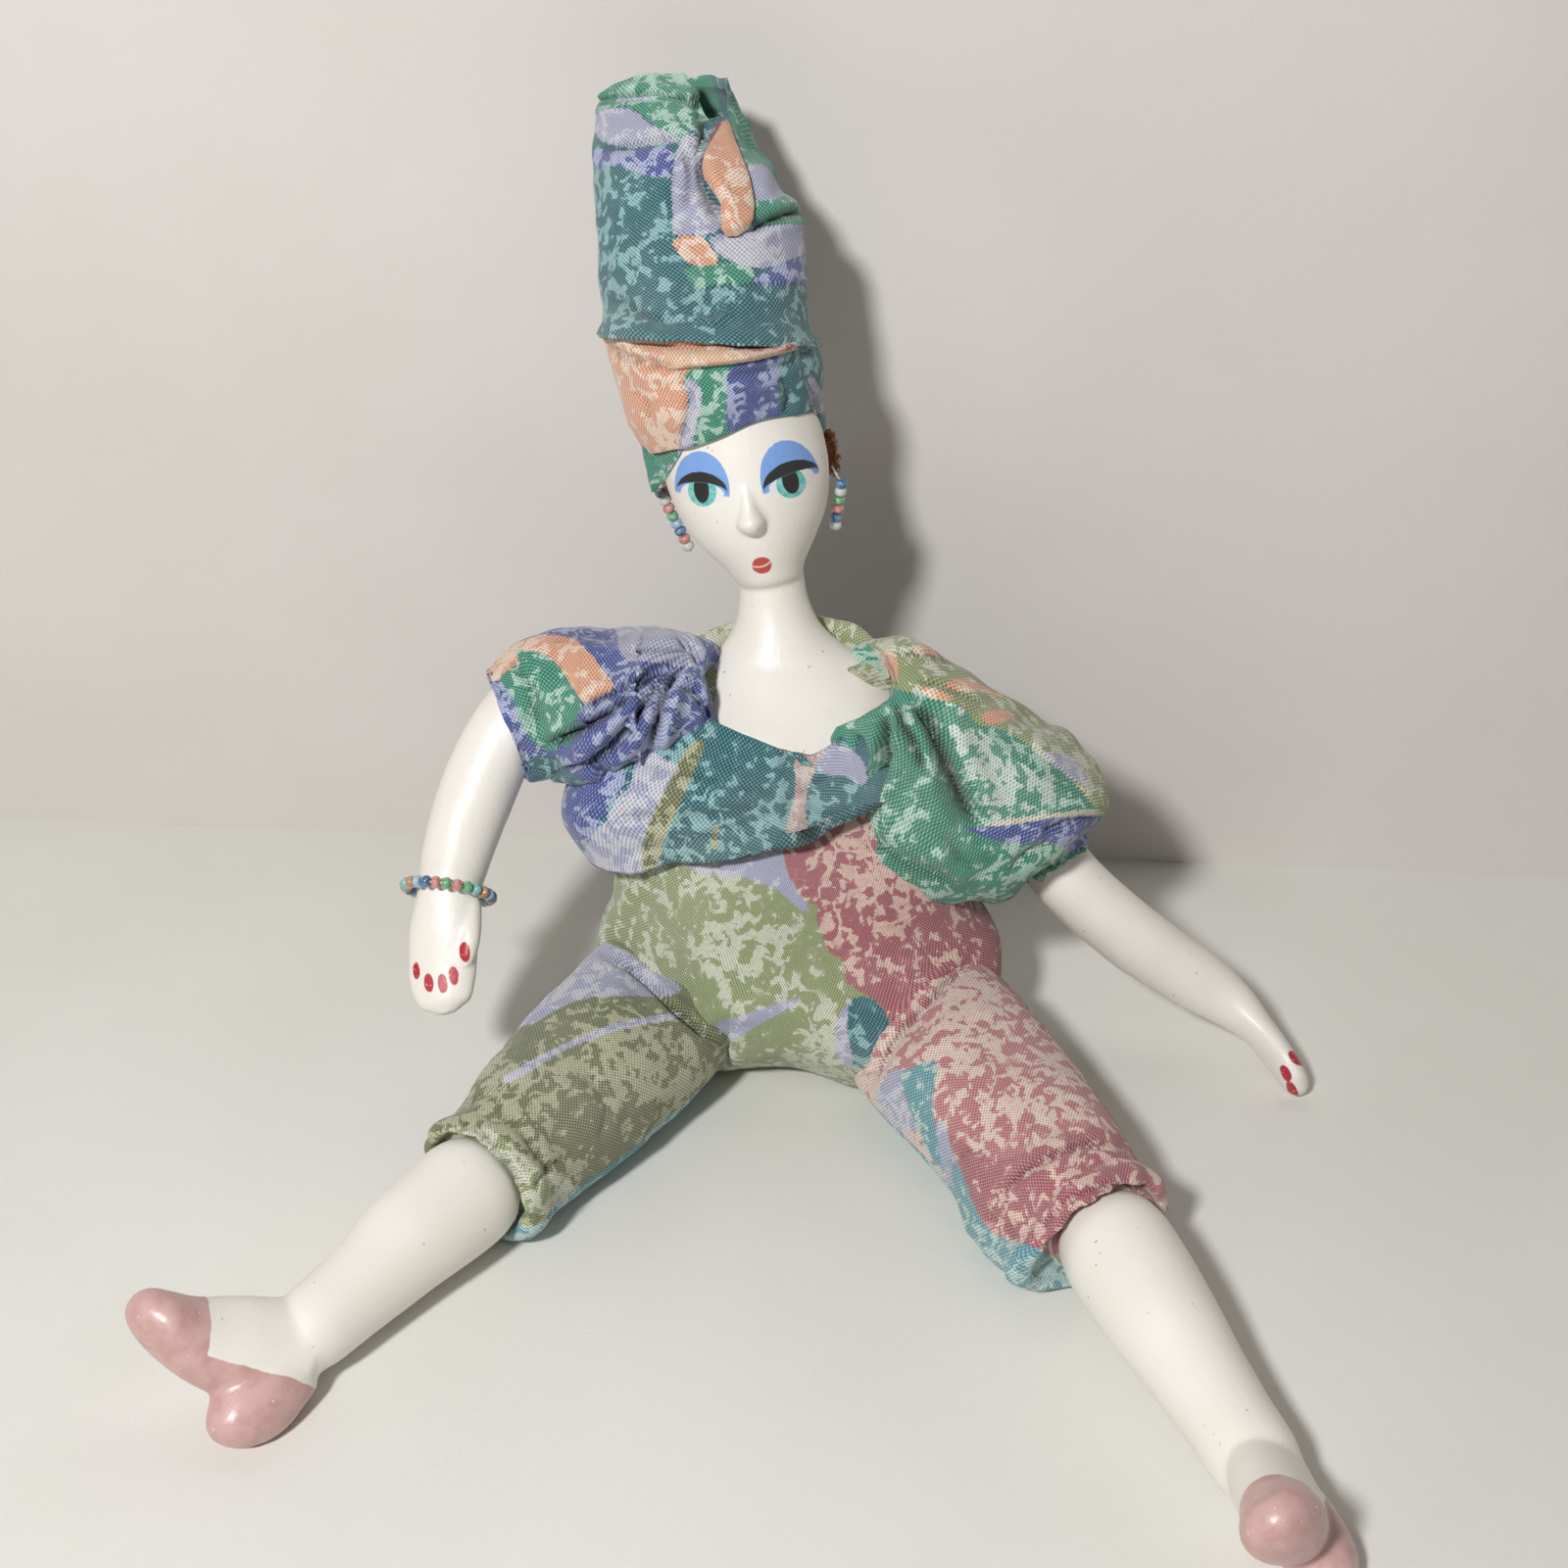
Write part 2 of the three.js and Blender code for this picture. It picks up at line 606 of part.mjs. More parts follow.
function crownForm(grow, past = grow, inner = false) {
  const tall = crownHigh - crownLow;
  const row = (share, x, y, halfWidth, halfDepth) => [x, y, crownLow + share * tall, halfWidth, halfDepth];
  const keys = [
    row(0, -5, 0.3, crownHalfWidth - 2.4, headHalfDepth + 1.4),
    row(0.1, -5.1, 0.4, crownHalfWidth - 1.8, headHalfDepth + 1.6),
    row(0.2, -5, 0.7, crownHalfWidth, crownHalfDepth + 3.8),
    row(0.33, -4.8, 1, crownHalfWidth + 0.2, crownHalfDepth + 2.5),
    row(0.52, -3, 1.8, crownHalfWidth + 0.3, crownHalfDepth),
    row(0.7, -4.5, 3.5, crownHalfWidth - 3.5, crownHalfDepth - 3.5),
    row(0.85, -5.5, 5.5, crownHalfWidth - 6, crownHalfDepth - 8),
    row(1, -4, 6.5, crownHalfWidth - 9.5, crownFoldHalfDepth),
  ];
  const creases = { count: 5, depth: (share) => 0.025 * Math.sin(Math.PI * share) };
  const detail = inner ? { sides: 20, rings: 8 } : { sides: 24, rings: 9 };
  const shape = form(keys, { ...detail, level: vec(0, 0, 1), square: 2.3, grow, past, folds: creases });
  return solid(shape).transform(headFrame.elements);
}

const bandBody = () => bandForm(0).subtract(headForm(touchGap)).subtract(crownForm(touchGap));

function crownBody() {
  const slope = rad(crownSlope);
  const top = vec(0, 0, crownHigh - 4).applyMatrix4(headFrame);
  const up = vec(-Math.sin(slope), 0, Math.cos(slope)).transformDirection(headFrame);
  const shell = crownForm(0).subtract(crownForm(-crownWall, 5, true)).subtract(headForm(touchGap));
  return largest(shell.subtract(blockBehind(top, up.negate())));
}

// Arms
const armKeys = {
  right: [
    [-50.5, 20, 95.5, 5.5, 5.5],
    [-53, 19.4, 95, 8.2, 8.2],
    [-66, 14.5, 89, armRadius, armRadius],
    [-76.5, 3.5, 73, armRadius, armRadius],
    [-81, -6, 60.5, wristRadius + 0.5, wristRadius + 0.3],
    [-82.4, -11, 55, wristRadius - 0.2, wristRadius - 0.9],
    [-83, -18, 48.5, handHalfWidth, handHalfThickness + 1.3],
    [-83, -24, 41.5, handHalfWidth, handHalfThickness],
    [-82, -29, 36, handHalfWidth - 1.8, handHalfThickness - 0.7],
    [-81.5, -31, 34, 2, 1.5],
  ],
  left: [
    [58.5, 18, 54.5, 5.5, 5.5],
    [60, 17.2, 52.5, 7.9, 7.9],
    [70, 11.5, 41.5, armRadius - 0.4, armRadius - 0.4],
    [84, 6.5, 30.5, armRadius - 0.5, armRadius - 0.5],
    [98, 3, 21.5, wristRadius + 0.4, wristRadius + 0.4],
    [108.5, -0.5, 15.3, wristRadius - 0.6, wristRadius - 1.2],
    [116, -6.5, 10, handHalfWidth - 0.6, handHalfThickness + 0.4],
    [120.6, -13.5, 6.2, handHalfWidth, handHalfThickness - 0.2],
    [123.3, -19, 3.6, handHalfWidth - 2, handHalfThickness - 0.8],
    [124.2, -21, 2.6, 2, 1.5],
  ],
};
// Width of each hand: across the picture on the right, and toward the viewer on the left
const handSide = { right: vec(1, -0.1, 0.1), left: vec(0, -0.8, 0.6) };

function armForm(side, grow) {
  const shape = form(armKeys[side], { sides: 14, rings: 14, side: handSide[side], square: 2.05, grow });
  return solid(shape).subtract(floorBelow(-Math.max(grow, 0)));
}

function armClothBody(side) {
  const { plane, axisY, axisZ } = shoulder[side];
  const out = Math.sign(plane);
  const [start, , next] = armKeys[side];
  const wall = armRadius + armClothWall + touchGap;
  const middle = (i) => (plane + out + start[i]) / 2;
  const keys = [
    [plane + (out * touchGap) / 2, axisY, axisZ, shoulderRadius, shoulderRadius],
    [middle(0), (axisY + start[1]) / 2, (axisZ + start[2]) / 2, shoulderRadius + 0.8, shoulderRadius + 0.8],
    [start[0], start[1], start[2], wall - 0.4, wall - 0.4],
    [(start[0] + next[0]) / 2, (start[1] + next[1]) / 2, (start[2] + next[2]) / 2, wall, wall],
  ];
  const shape = solid(form(keys, { sides: 14, rings: 5, side: vec(0, 1, 0) }));
  return largest(shape.subtract(armForm(side, touchGap)).subtract(shoulderCut(side, "root")));
}

// Everything on the trunk's side, or on the arm's side, of the plane where an arm is sewn on
function shoulderCut(side, part) {
  const out = vec(Math.sign(shoulder[side].plane), 0, 0);
  const away = part === "root" ? out : out.clone().negate();
  const point = vec(shoulder[side].plane, 0, 0).addScaledVector(away, touchGap / 2);
  return blockBehind(point, away);
}

// Puffed sleeves, gathered at the plate and at the arm
const sleeveKeys = {
  right: [
    [-17, 14, 92.5, 9.5, 12],
    [-20, 14.5, 93, 12, 15],
    [-27, 16, 93.5, 13.8, 19],
    [-36, 18, 92.5, 15.5, 22],
    [-50, 18, 92, 16, 21],
    [-60, 16.5, 92.5, 14.5, 17],
    [-68, 13.5, 90, 11.5, 11.8],
  ],
  left: [
    [9, 13, 94, 10, 12],
    [20, 14.5, 89, 20, 20.5],
    [36, 15, 77, 26.5, 26],
    [53, 14.5, 64, 25, 24],
    [64, 13, 51, 17, 17],
    [69, 11.5, 44, 10.8, 10.8],
  ],
};
const sleeveSide = { right: vec(0, 0, 1), left: vec(0.75, 0, 0.66) };

function sleeveForm(side, grow, past = grow, inner = false) {
  const gathers = { count: 9, depth: (share) => 0.05 * (1 - Math.sin(Math.PI * share)) ** 1.5 };
  const detail = inner ? { sides: 18, rings: 7 } : { sides: 22, rings: 8 };
  return solid(form(sleeveKeys[side], { ...detail, side: sleeveSide[side], grow, past, folds: gathers }));
}

function sleeveShell(side) {
  const shell = sleeveForm(side, 0).subtract(sleeveForm(side, -sleeveWall, 4, true));
  return shell
    .subtract(trunkForm(touchGap))
    .subtract(plateForm(touchGap))
    .subtract(armForm(side, touchGap))
    .subtract(armClothHull(side));
}

// Space kept clear for the cloth round the top of an arm
function armClothHull(side) {
  const [start, , next] = armKeys[side];
  const { plane, axisY, axisZ } = shoulder[side];
  const radius = armRadius + armClothWall + 2 * touchGap;
  const keys = [
    [plane - Math.sign(plane), axisY, axisZ, radius, radius],
    [...start.slice(0, 3), radius, radius],
    [(start[0] + next[0]) / 2, (start[1] + next[1]) / 2, (start[2] + next[2]) / 2, radius, radius],
  ];
  return solid(form(keys, { sides: 14, rings: 5, side: vec(0, 1, 0), past: 0.5 }));
}

// Band of cloth round the chest, standing off the trunk, lower on the doll's right
function bodiceForm(grow, past = grow, inner = false) {
  const row = (z, spread, aside = 0) => {
    const [x, y] = trunkAt(z);
    const stand = bodiceStandOff + spread;
    return [x - aside, y - 1, z, chestHalfWidth + stand + aside / 2, chestHalfDepth + stand];
  };
  const low = [row(46, 0.5), row(60, 1.5, 1), row(70, 2.2, 2.5)];
  const keys = [...low, row(80, 1, 2.5), row(89, -4), row(bodiceHigh, -9)];
  const detail = inner ? { sides: 18, rings: 5 } : { sides: 24, rings: 7 };
  return solid(form(keys, { ...detail, level: vec(0, 0, 1), square: 2.3, grow, past }));
}

function bodiceBody() {
  const tipped = (degrees) => vec(-Math.sin(rad(degrees)), 0, Math.cos(rad(degrees)));
  const below = blockBehind(vec(0, 0, bodiceLow), tipped(bodiceSlope));
  const above = blockBehind(vec(0, 0, necklineHigh), tipped(-necklineSlope).negate());
  const { plane, axisY, axisZ } = shoulder.right;
  const across = chestHalfWidth;
  const swept = new THREE.CylinderGeometry(sleeveSweep, sleeveSweep, across, 20).rotateZ(Math.PI / 2);
  swept.translate(plane + touchGap - across / 2, axisY, axisZ);
  return largest(
    bodiceForm(0)
      .subtract(bodiceForm(-sleeveWall, 4, true))
      .subtract(below)
      .subtract(above)
      .subtract(solid(swept))
      .subtract(shoulderCut("left", "arm"))
      .subtract(trunkForm(touchGap))
      .subtract(plateForm(touchGap))
      .subtract(sleeveForm("right", touchGap))
      .subtract(sleeveForm("left", touchGap)),
  );
}

// Gathered edge of the costume behind the neck
function collarBody() {
  const back = neckPoint[1];
  const height = neckPoint[2] - 13;
  const keys = [
    [-26, back - 4, height - 3, collarHalfDepth, collarHalfHeight - 1],
    [-17, back + 3, height - 1, collarHalfDepth, collarHalfHeight],
    [-2, back + 7, height, collarHalfDepth, collarHalfHeight],
    [12, back + 3, height - 1, collarHalfDepth, collarHalfHeight],
    [20, back - 4, height - 3, collarHalfDepth, collarHalfHeight - 1],
  ];
  const shape = form(keys, { sides: 10, rings: 9, side: vec(0, 1, 0) });
  return largest(
    solid(shape)
      .subtract(plateForm(touchGap))
      .subtract(trunkForm(touchGap))
      .subtract(sleeveForm("right", touchGap))
      .subtract(sleeveForm("left", touchGap)),
  );
}

// A place at an ear: how far out from the widest line of the head, how far back, and how high
const earPlace = (side, away, back, high) => {
  return vec(earX + (side === "right" ? -1 : 1) * (headHalfWidth + away), back, high);
};

// Tuft of hair at an ear, under the turban's edge
function hairBody(side) {
  const row = (high, away, halfWidth, halfDepth) => {
    return [...earPlace(side, away, hairBack, high), halfWidth, halfDepth];
  };
  const keys = [
    row(23.6, -2, 1.2, 1.4),
    row(26, -1, hairHalfWidth, hairHalfWidth + 0.6),
    row(30, -0.3, hairHalfWidth, hairHalfWidth + 1),
    row(34, -0.6, hairHalfWidth - 0.6, hairHalfWidth + 0.6),
    row(bandLow + 1, -1.4, 1.2, 1.5),
  ];
  const shape = solid(form(keys, { sides: 8, rings: 5, level: vec(0, 0, 1) })).transform(headFrame.elements);
  return largest(shape.subtract(headForm(touchGap)).subtract(bandForm(touchGap)));
}

// A bead is a short rounded ring, and one that is strung for good has no hole of its own
function beadGeometry(hole) {
  const half = beadLength / 2;
  const shoulderLine = 0.72 * beadRadius;
  const outline = [
    [hole, -half],
    [shoulderLine, -half],
    [beadRadius, 0],
    [shoulderLine, half],
    [hole, half],
  ];
  if (hole > 0) outline.push(outline[0]);
  const points = outline.map(([r, z]) => new THREE.Vector2(r, z));
  return new THREE.LatheGeometry(points, beadSides).rotateX(Math.PI / 2);
}

// Earring: beads on a thread that comes out of the head at the ear and hangs in one plane
const earringHang = { right: vec(0.45, 0, -1), left: vec(-0.12, 0, -1) };

function threadBetween(start, end) {
  const turn = (k) => new THREE.Vector2(Math.cos((k * Math.PI) / 2), Math.sin((k * Math.PI) / 2));
  const section = new THREE.Shape([0, 1, 2, 3].map((k) => turn(k).multiplyScalar(threadRadius)));
  return solid(new THREE.ExtrudeGeometry(section, { extrudePath: new THREE.LineCurve3(start, end), steps: 1 }));
}

function earringBody(side) {
  const ear = earPlace(side, earringOut, earringBack, earHigh[side]).applyMatrix4(headFrame);
  const first = earPlace(side, earringOut + 1.1, earringBack, earHigh[side] - earringDrop[side]);
  first.applyMatrix4(headFrame);
  const down = earringHang[side].clone().normalize();
  const count = earringBeads[side];
  const beadAt = (i) => first.clone().addScaledVector(down, i * earringPitch);
  const turn = new THREE.Quaternion().setFromUnitVectors(vec(0, 0, 1), down);
  let body = threadBetween(ear, first).add(threadBetween(first, beadAt(count - 0.3)));
  for (let i = 0; i < count; i++) {
    const place = new THREE.Matrix4().compose(beadAt(i), turn, vec(1, 1, 1));
    body = body.add(solid(beadGeometry(0).applyMatrix4(place)));
  }
  return body;
}

function addBracelet() {
  const [, , , , above, wrist, below] = armKeys.right;
  const centre = vec(...wrist.slice(0, 3));
  const along = vec(...below.slice(0, 3)).sub(vec(...above.slice(0, 3)));
  const place = frame(centre, along, vec(0, -1, 0));
  const ring = new THREE.TorusGeometry(braceletRadius, threadRadius, 4, braceletBeads).applyMatrix4(place);
  add("bracelet_elastic", solid(ring), cord);
  for (let i = 0; i < braceletBeads; i++) {
    const turn = (2 * Math.PI * i) / braceletBeads;
    const at = vec(Math.cos(turn), Math.sin(turn), 0).multiplyScalar(braceletRadius).applyMatrix4(place);
    const tangent = vec(-Math.sin(turn), Math.cos(turn), 0).transformDirection(place);
    const look = glass[(i * 7 + 1) % glass.length];
    const bead = add("bracelet_bead_" + (i + 1), beadGeometry(threadRadius + threadGap), look);
    bead.position.copy(at);
    bead.quaternion.setFromUnitVectors(vec(0, 0, 1), tangent);
  }
}

// Trunk pieces: two cloth panels joined at the side seams, and the seeds inside
const casing = trunkCut(0).subtract(trunkCut(-clothWall, true)).subtract(plateForm(touchGap));
const panelPlane = vec(0, panelSeamBack, 0);
const panelFront = vec(0, -Math.cos(rad(trunkLean)), Math.sin(rad(trunkLean)));
const halfSeam = panelFront.clone().multiplyScalar(touchGap / 2);
const behindSeam = blockBehind(panelPlane.clone().add(halfSeam), panelFront);
const beforeSeam = blockBehind(panelPlane.clone().sub(halfSeam), panelFront.clone().negate());
add("torso_front", largest(casing.subtract(behindSeam)), print.sage);
add("torso_back", largest(casing.subtract(beforeSeam)), print.teal);
add("torso_seeds", largest(trunkCut(-clothWall - touchGap, true).subtract(plateShell(touchGap))), seeds);

for (const side of sidesOf) {
  const look = side === "right" ? print.sage : print.rose;
  const casingEnd = thighForm(side, 0).subtract(thighForm(side, -clothWall, 5, true));
  add("thigh_casing_" + side, largest(casingEnd), look);
  const filled = thighForm(side, -clothWall - touchGap, 5, true);
  const stop = blockBehind(thighPoint(side, lengthOfThigh(side) - fillShort, 0), thighDirection(side).negate());
  add("thigh_seeds_" + side, largest(filled.subtract(stop)), seeds);
  add("knee_hem_" + side, largest(hemBody(side)), look);
  add("knee_tie_" + side, tieBody(side), cord);
  add("lower_leg_" + side, legBody(side), paint);
  add("arm_" + side, armForm(side, 0), paint);
  add("arm_cloth_" + side, armClothBody(side), print.lavender);
  const shell = sleeveShell(side);
  add("shoulder_drape_" + side, largest(shell.subtract(shoulderCut(side, "arm"))), print.blue);
  add("sleeve_" + side, largest(shell.subtract(shoulderCut(side, "root"))), print.sea);
  add("hair_" + side, hairBody(side), hair);
}

add("head_and_shoulders", headForm(0).add(plateShell()).add(noseForm()), paint);
add("hat_band", largest(bandBody()), print.peach);
add("hat_crown", crownBody(), print.teal);
add("bodice", bodiceBody(), print.teal);
add("neck_collar", collarBody(), print.sage);
sidesOf.forEach((side) => add("earring_" + side, earringBody(side), glass[4]));
addBracelet();

export default doll;
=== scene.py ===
# A seated doll: painted head, arms and legs on a seed-filled cloth body, in a printed costume and turban.
import math

import bpy
import numpy as np
from mathutils import Matrix, Vector, noise


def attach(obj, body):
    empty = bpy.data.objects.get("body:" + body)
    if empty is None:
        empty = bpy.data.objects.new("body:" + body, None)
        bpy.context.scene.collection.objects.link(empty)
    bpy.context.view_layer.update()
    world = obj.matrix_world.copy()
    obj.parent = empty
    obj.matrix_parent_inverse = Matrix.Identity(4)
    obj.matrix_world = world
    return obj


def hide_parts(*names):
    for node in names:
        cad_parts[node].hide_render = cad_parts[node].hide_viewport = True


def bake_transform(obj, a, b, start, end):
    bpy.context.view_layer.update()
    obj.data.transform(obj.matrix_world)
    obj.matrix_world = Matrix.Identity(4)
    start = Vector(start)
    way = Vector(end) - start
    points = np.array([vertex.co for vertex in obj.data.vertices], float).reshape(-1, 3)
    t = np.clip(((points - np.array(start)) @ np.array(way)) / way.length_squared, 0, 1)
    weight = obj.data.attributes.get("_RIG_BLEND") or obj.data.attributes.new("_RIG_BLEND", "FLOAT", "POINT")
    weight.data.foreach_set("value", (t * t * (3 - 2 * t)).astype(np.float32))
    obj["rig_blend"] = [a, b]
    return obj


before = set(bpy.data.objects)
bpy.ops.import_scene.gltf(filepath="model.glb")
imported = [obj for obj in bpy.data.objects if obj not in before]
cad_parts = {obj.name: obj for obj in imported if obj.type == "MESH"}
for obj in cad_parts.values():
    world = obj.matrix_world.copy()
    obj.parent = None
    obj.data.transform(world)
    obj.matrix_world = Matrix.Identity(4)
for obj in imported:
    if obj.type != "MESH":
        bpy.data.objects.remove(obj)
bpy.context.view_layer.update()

# Shapes are written in millimetres and scaled once, where a mesh is made.
MM = 0.001
SIDES = ("right", "left")
CAMERA_AT = np.array([-3.0, -400.0, 309.0])
CAMERA_DIP = math.radians(30)
PICTURE = 1600
FOCAL = 2000.0
FORWARD = np.array([0, math.cos(CAMERA_DIP), -math.sin(CAMERA_DIP)])
DOWN = np.array([0, -math.sin(CAMERA_DIP), -math.cos(CAMERA_DIP)])
RIGHT = np.array([1.0, 0, 0])


def unit(v):
    v = np.array(v, float)
    return v / np.linalg.norm(v)


def smooth(x):
    x = np.clip(x, 0, 1)
    return x * x * (3 - 2 * x)


def pixels(points):
    """Where points fall in the picture."""
    v = points - CAMERA_AT
    deep = v @ FORWARD
    return PICTURE / 2 + FOCAL * np.stack([v @ RIGHT, v @ DOWN], -1) / deep[..., None]


def ways_through(px):
    """The directions from the viewer through pixels of the picture."""
    off = (px - PICTURE / 2) / FOCAL
    way = FORWARD + RIGHT * off[..., :1] + DOWN * off[..., 1:]
    return way / np.linalg.norm(way, axis=-1)[..., None]


def facing_viewer(points, normals):
    """1 where a surface faces the viewer square on, 0 where it is edge on, below 0 where it faces away."""
    toward = CAMERA_AT - points
    return (toward * normals).sum(1) / np.linalg.norm(toward, axis=1)


# Lofts
def eased(keys, count):
    """Rows eased through key rows, one column at a time, so that no column overshoots its keys."""
    keys = np.array(keys, float)
    span = np.linalg.norm(np.diff(keys[:, :3], axis=0), axis=1)
    rise = np.diff(keys, axis=0) / span[:, None]
    slope = np.zeros_like(keys)
    slope[0], slope[-1] = rise[0], rise[-1]
    for k in range(1, len(keys) - 1):
        before, after = rise[k - 1], rise[k]
        near, far = 2 * span[k] + span[k - 1], span[k] + 2 * span[k - 1]
        same = before * after > 0
        slope[k][same] = (near + far) / (near / before[same] + far / after[same])
    t = np.linspace(0, len(keys) - 1, count + 1)
    k = np.minimum(t.astype(int), len(keys) - 2)
    f = (t - k)[:, None]
    ends = (2 * f**3 - 3 * f**2 + 1) * keys[k] + (3 * f**2 - 2 * f**3) * keys[k + 1]
    turns = (f**3 - 2 * f**2 + f) * slope[k] + (f**3 - f**2) * slope[k + 1]
    return ends + turns * span[k][:, None]


def loft(keys, rings, sides, side=(1, 0, 0), level=None, square=2.0, grow=0.0):
    """Rings of points. A key row is x, y, z, half width, half depth."""
    rows = eased(keys, rings)
    at = rows[:, :3]
    turn = np.arange(sides) * 2 * math.pi / sides
    c, n = np.cos(turn), np.sin(turn)
    reach = 1 / (np.abs(c) ** square + np.abs(n) ** square) ** (1 / square)
    made = np.empty((rings + 1, sides, 3))
    for i, row in enumerate(rows):
        if level is not None:
            along = unit(level)
        else:
            along = unit(at[min(i + 1, rings)] - at[max(i - 1, 0)])
        width = np.array(side(i / rings) if callable(side) else side, float)
        across = unit(width - along * (width @ along))
        front = np.cross(along, across)
        wide = np.outer(c * reach * (row[3] + grow), across)
        made[i] = at[i] + wide + np.outer(n * reach * (row[4] + grow), front)
    return made


def basis(x, y, z, at):
    place = np.eye(4)
    place[:3, 0], place[:3, 1], place[:3, 2], place[:3, 3] = x, y, z, at
    return place


def frame_along(at, along, front):
    """A frame with Z along a direction and -Y as near as possible to a front."""
    z = unit(along)
    y = -np.array(front, float)
    y = unit(y - z * (z @ y))
    return basis(np.cross(y, z), y, z, at)


def moved(place, points):
    return points @ place[:3, :3].T + place[:3, 3]


def local(place, points):
    return (points - place[:3, 3]) @ place[:3, :3]


# Meshes
def read(obj):
    """Points and normals of a mesh, in millimetres."""
    count = len(obj.data.vertices)
    points, normals = np.empty(count * 3), np.empty(count * 3)
    obj.data.vertices.foreach_get("co", points)
    obj.data.vertices.foreach_get("normal", normals)
    return points.reshape(-1, 3) / MM, normals.reshape(-1, 3)


def write(obj, points):
    obj.data.vertices.foreach_set("co", (points * MM).ravel())
    obj.data.update()


def object_of(name, points, faces):
    mesh = bpy.data.meshes.new(name)
    mesh.from_pydata((np.asarray(points) * MM).tolist(), [], faces)
    mesh.update()
    obj = bpy.data.objects.new(name, mesh)
    bpy.context.scene.collection.objects.link(obj)
    mesh.polygons.foreach_set("use_smooth", [True] * len(mesh.polygons))
    return obj


def skin_faces(rings, sides, around=True, ends=(False, False)):
    faces = []
    for r in range(rings - 1):
        for s in range(sides if around else sides - 1):
            a, b = r * sides + s, r * sides + (s + 1) % sides
            faces.append((a, b, b + sides, a + sides))
    if ends[0]:
        faces.append(tuple(range(sides))[::-1])
    if ends[1]:
        faces.append(tuple(range((rings - 1) * sides, rings * sides)))
    return faces


def lay_on(obj, places):
    """Keeps where each point of the cloth or paint lies at rest, in millimetres, for the colours."""
    attributes = obj.data.attributes
    lay = attributes.get("lay") or attributes.new("lay", "FLOAT_VECTOR", "POINT")
    lay.data.foreach_set("vector", np.asarray(places, np.float32).ravel())


def keep(obj, name, values):
    """Keeps a number for each point of a mesh, for its material."""
    made = obj.data.attributes.new(name, "FLOAT", "POINT")
    made.data.foreach_set("value", np.asarray(values, np.float32))


def woven_grid(name, grid, around=True, ends=(False, False)):
    """A mesh over rings of points, with its threads mapped in millimetres round and along it."""
    rings, sides = grid.shape[:2]
    obj = object_of(name, grid.reshape(-1, 3), skin_faces(rings, sides, around, ends))
    step = np.linalg.norm(np.diff(grid, axis=0), axis=2).mean(1)
    along = np.concatenate([[0], np.cumsum(step)])
    ahead = np.roll(grid, -1, axis=1) if around else grid[:, 1:]
    pitch = np.linalg.norm(ahead - (grid if around else grid[:, :-1]), axis=2).mean()
    layer = obj.data.uv_layers.new(name="threads")
    for face in obj.data.polygons:
        columns = [v % sides for v in face.vertices]
        wraps = max(columns) - min(columns) > sides / 2
        for loop, column, v in zip(face.loop_indices, columns, face.vertices):
            u = column + (sides if wraps and column == 0 else 0)
            layer.data[loop].uv = (u * pitch, along[v // sides])
    lay_on(obj, grid.reshape(-1, 3))
    return obj


def merged(name, grids, voxel, smoothing, cutters=()):
    """One even skin round several closed lofts that run into each other."""
    points, faces = [], []
    for grid in grids:
        first = len(points)
        points.extend(grid.reshape(-1, 3))
        made = skin_faces(grid.shape[0], grid.shape[1], ends=(True, True))
        faces.extend(tuple(first + v for v in face) for face in made)
    rough = object_of(name + "_rough", points, faces)
    for cutter in cutters:
        cut = rough.modifiers.new("cut", "BOOLEAN")
        cut.operation, cut.object, cut.solver = "DIFFERENCE", cutter, "EXACT"
    even = rough.modifiers.new("even", "REMESH")
    even.mode, even.voxel_size, even.use_smooth_shade = "VOXEL", voxel * MM, True
    soft = rough.modifiers.new("soft", "SMOOTH")
    soft.factor, soft.iterations = 0.5, smoothing
    obj = applied(rough, name)
    for cutter in cutters:
        bpy.data.objects.remove(cutter)
    return obj


def applied(obj, name=None):
    """The object with its modifiers made part of its mesh."""
    bpy.context.view_layer.update()
    graph = bpy.context.evaluated_depsgraph_get()
    mesh = bpy.data.meshes.new_from_object(obj.evaluated_get(graph))
    made = bpy.data.objects.new(name or obj.name, mesh)
    bpy.context.scene.collection.objects.link(made)
    old = obj.data
    bpy.data.objects.remove(obj)
    bpy.data.meshes.remove(old)
    made.name = name or made.name
    mesh.polygons.foreach_set("use_smooth", [True] * len(mesh.polygons))
    return made


def wrap_threads(obj, place, pitch_radius):
    """Maps threads round the Z axis of a frame and along it, in millimetres."""
    points = local(place, read(obj)[0])
    angle = np.arctan2(points[:, 1], points[:, 0])
    layer = obj.data.uv_layers.new(name="threads")
    values = np.empty((len(obj.data.loops), 2))
    for face in obj.data.polygons:
        base = angle[face.vertices[0]]
        for loop, v in zip(face.loop_indices, face.vertices):
            turn = base + math.remainder(angle[v] - base, 2 * math.pi)
            values[loop] = turn * pitch_radius, points[v, 2]
    layer.data.foreach_set("uv", values.ravel())


def box_object(name, place, low, high):
    corners = [[(low, high)[(i >> k) & 1][k] for k in range(3)] for i in range(8)]
    faces = [(0, 2, 3, 1), (4, 5, 7, 6), (0, 1, 5, 4), (2, 6, 7, 3), (0, 4, 6, 2), (1, 3, 7, 5)]
    return object_of(name, moved(place, np.array(corners, float)), faces)


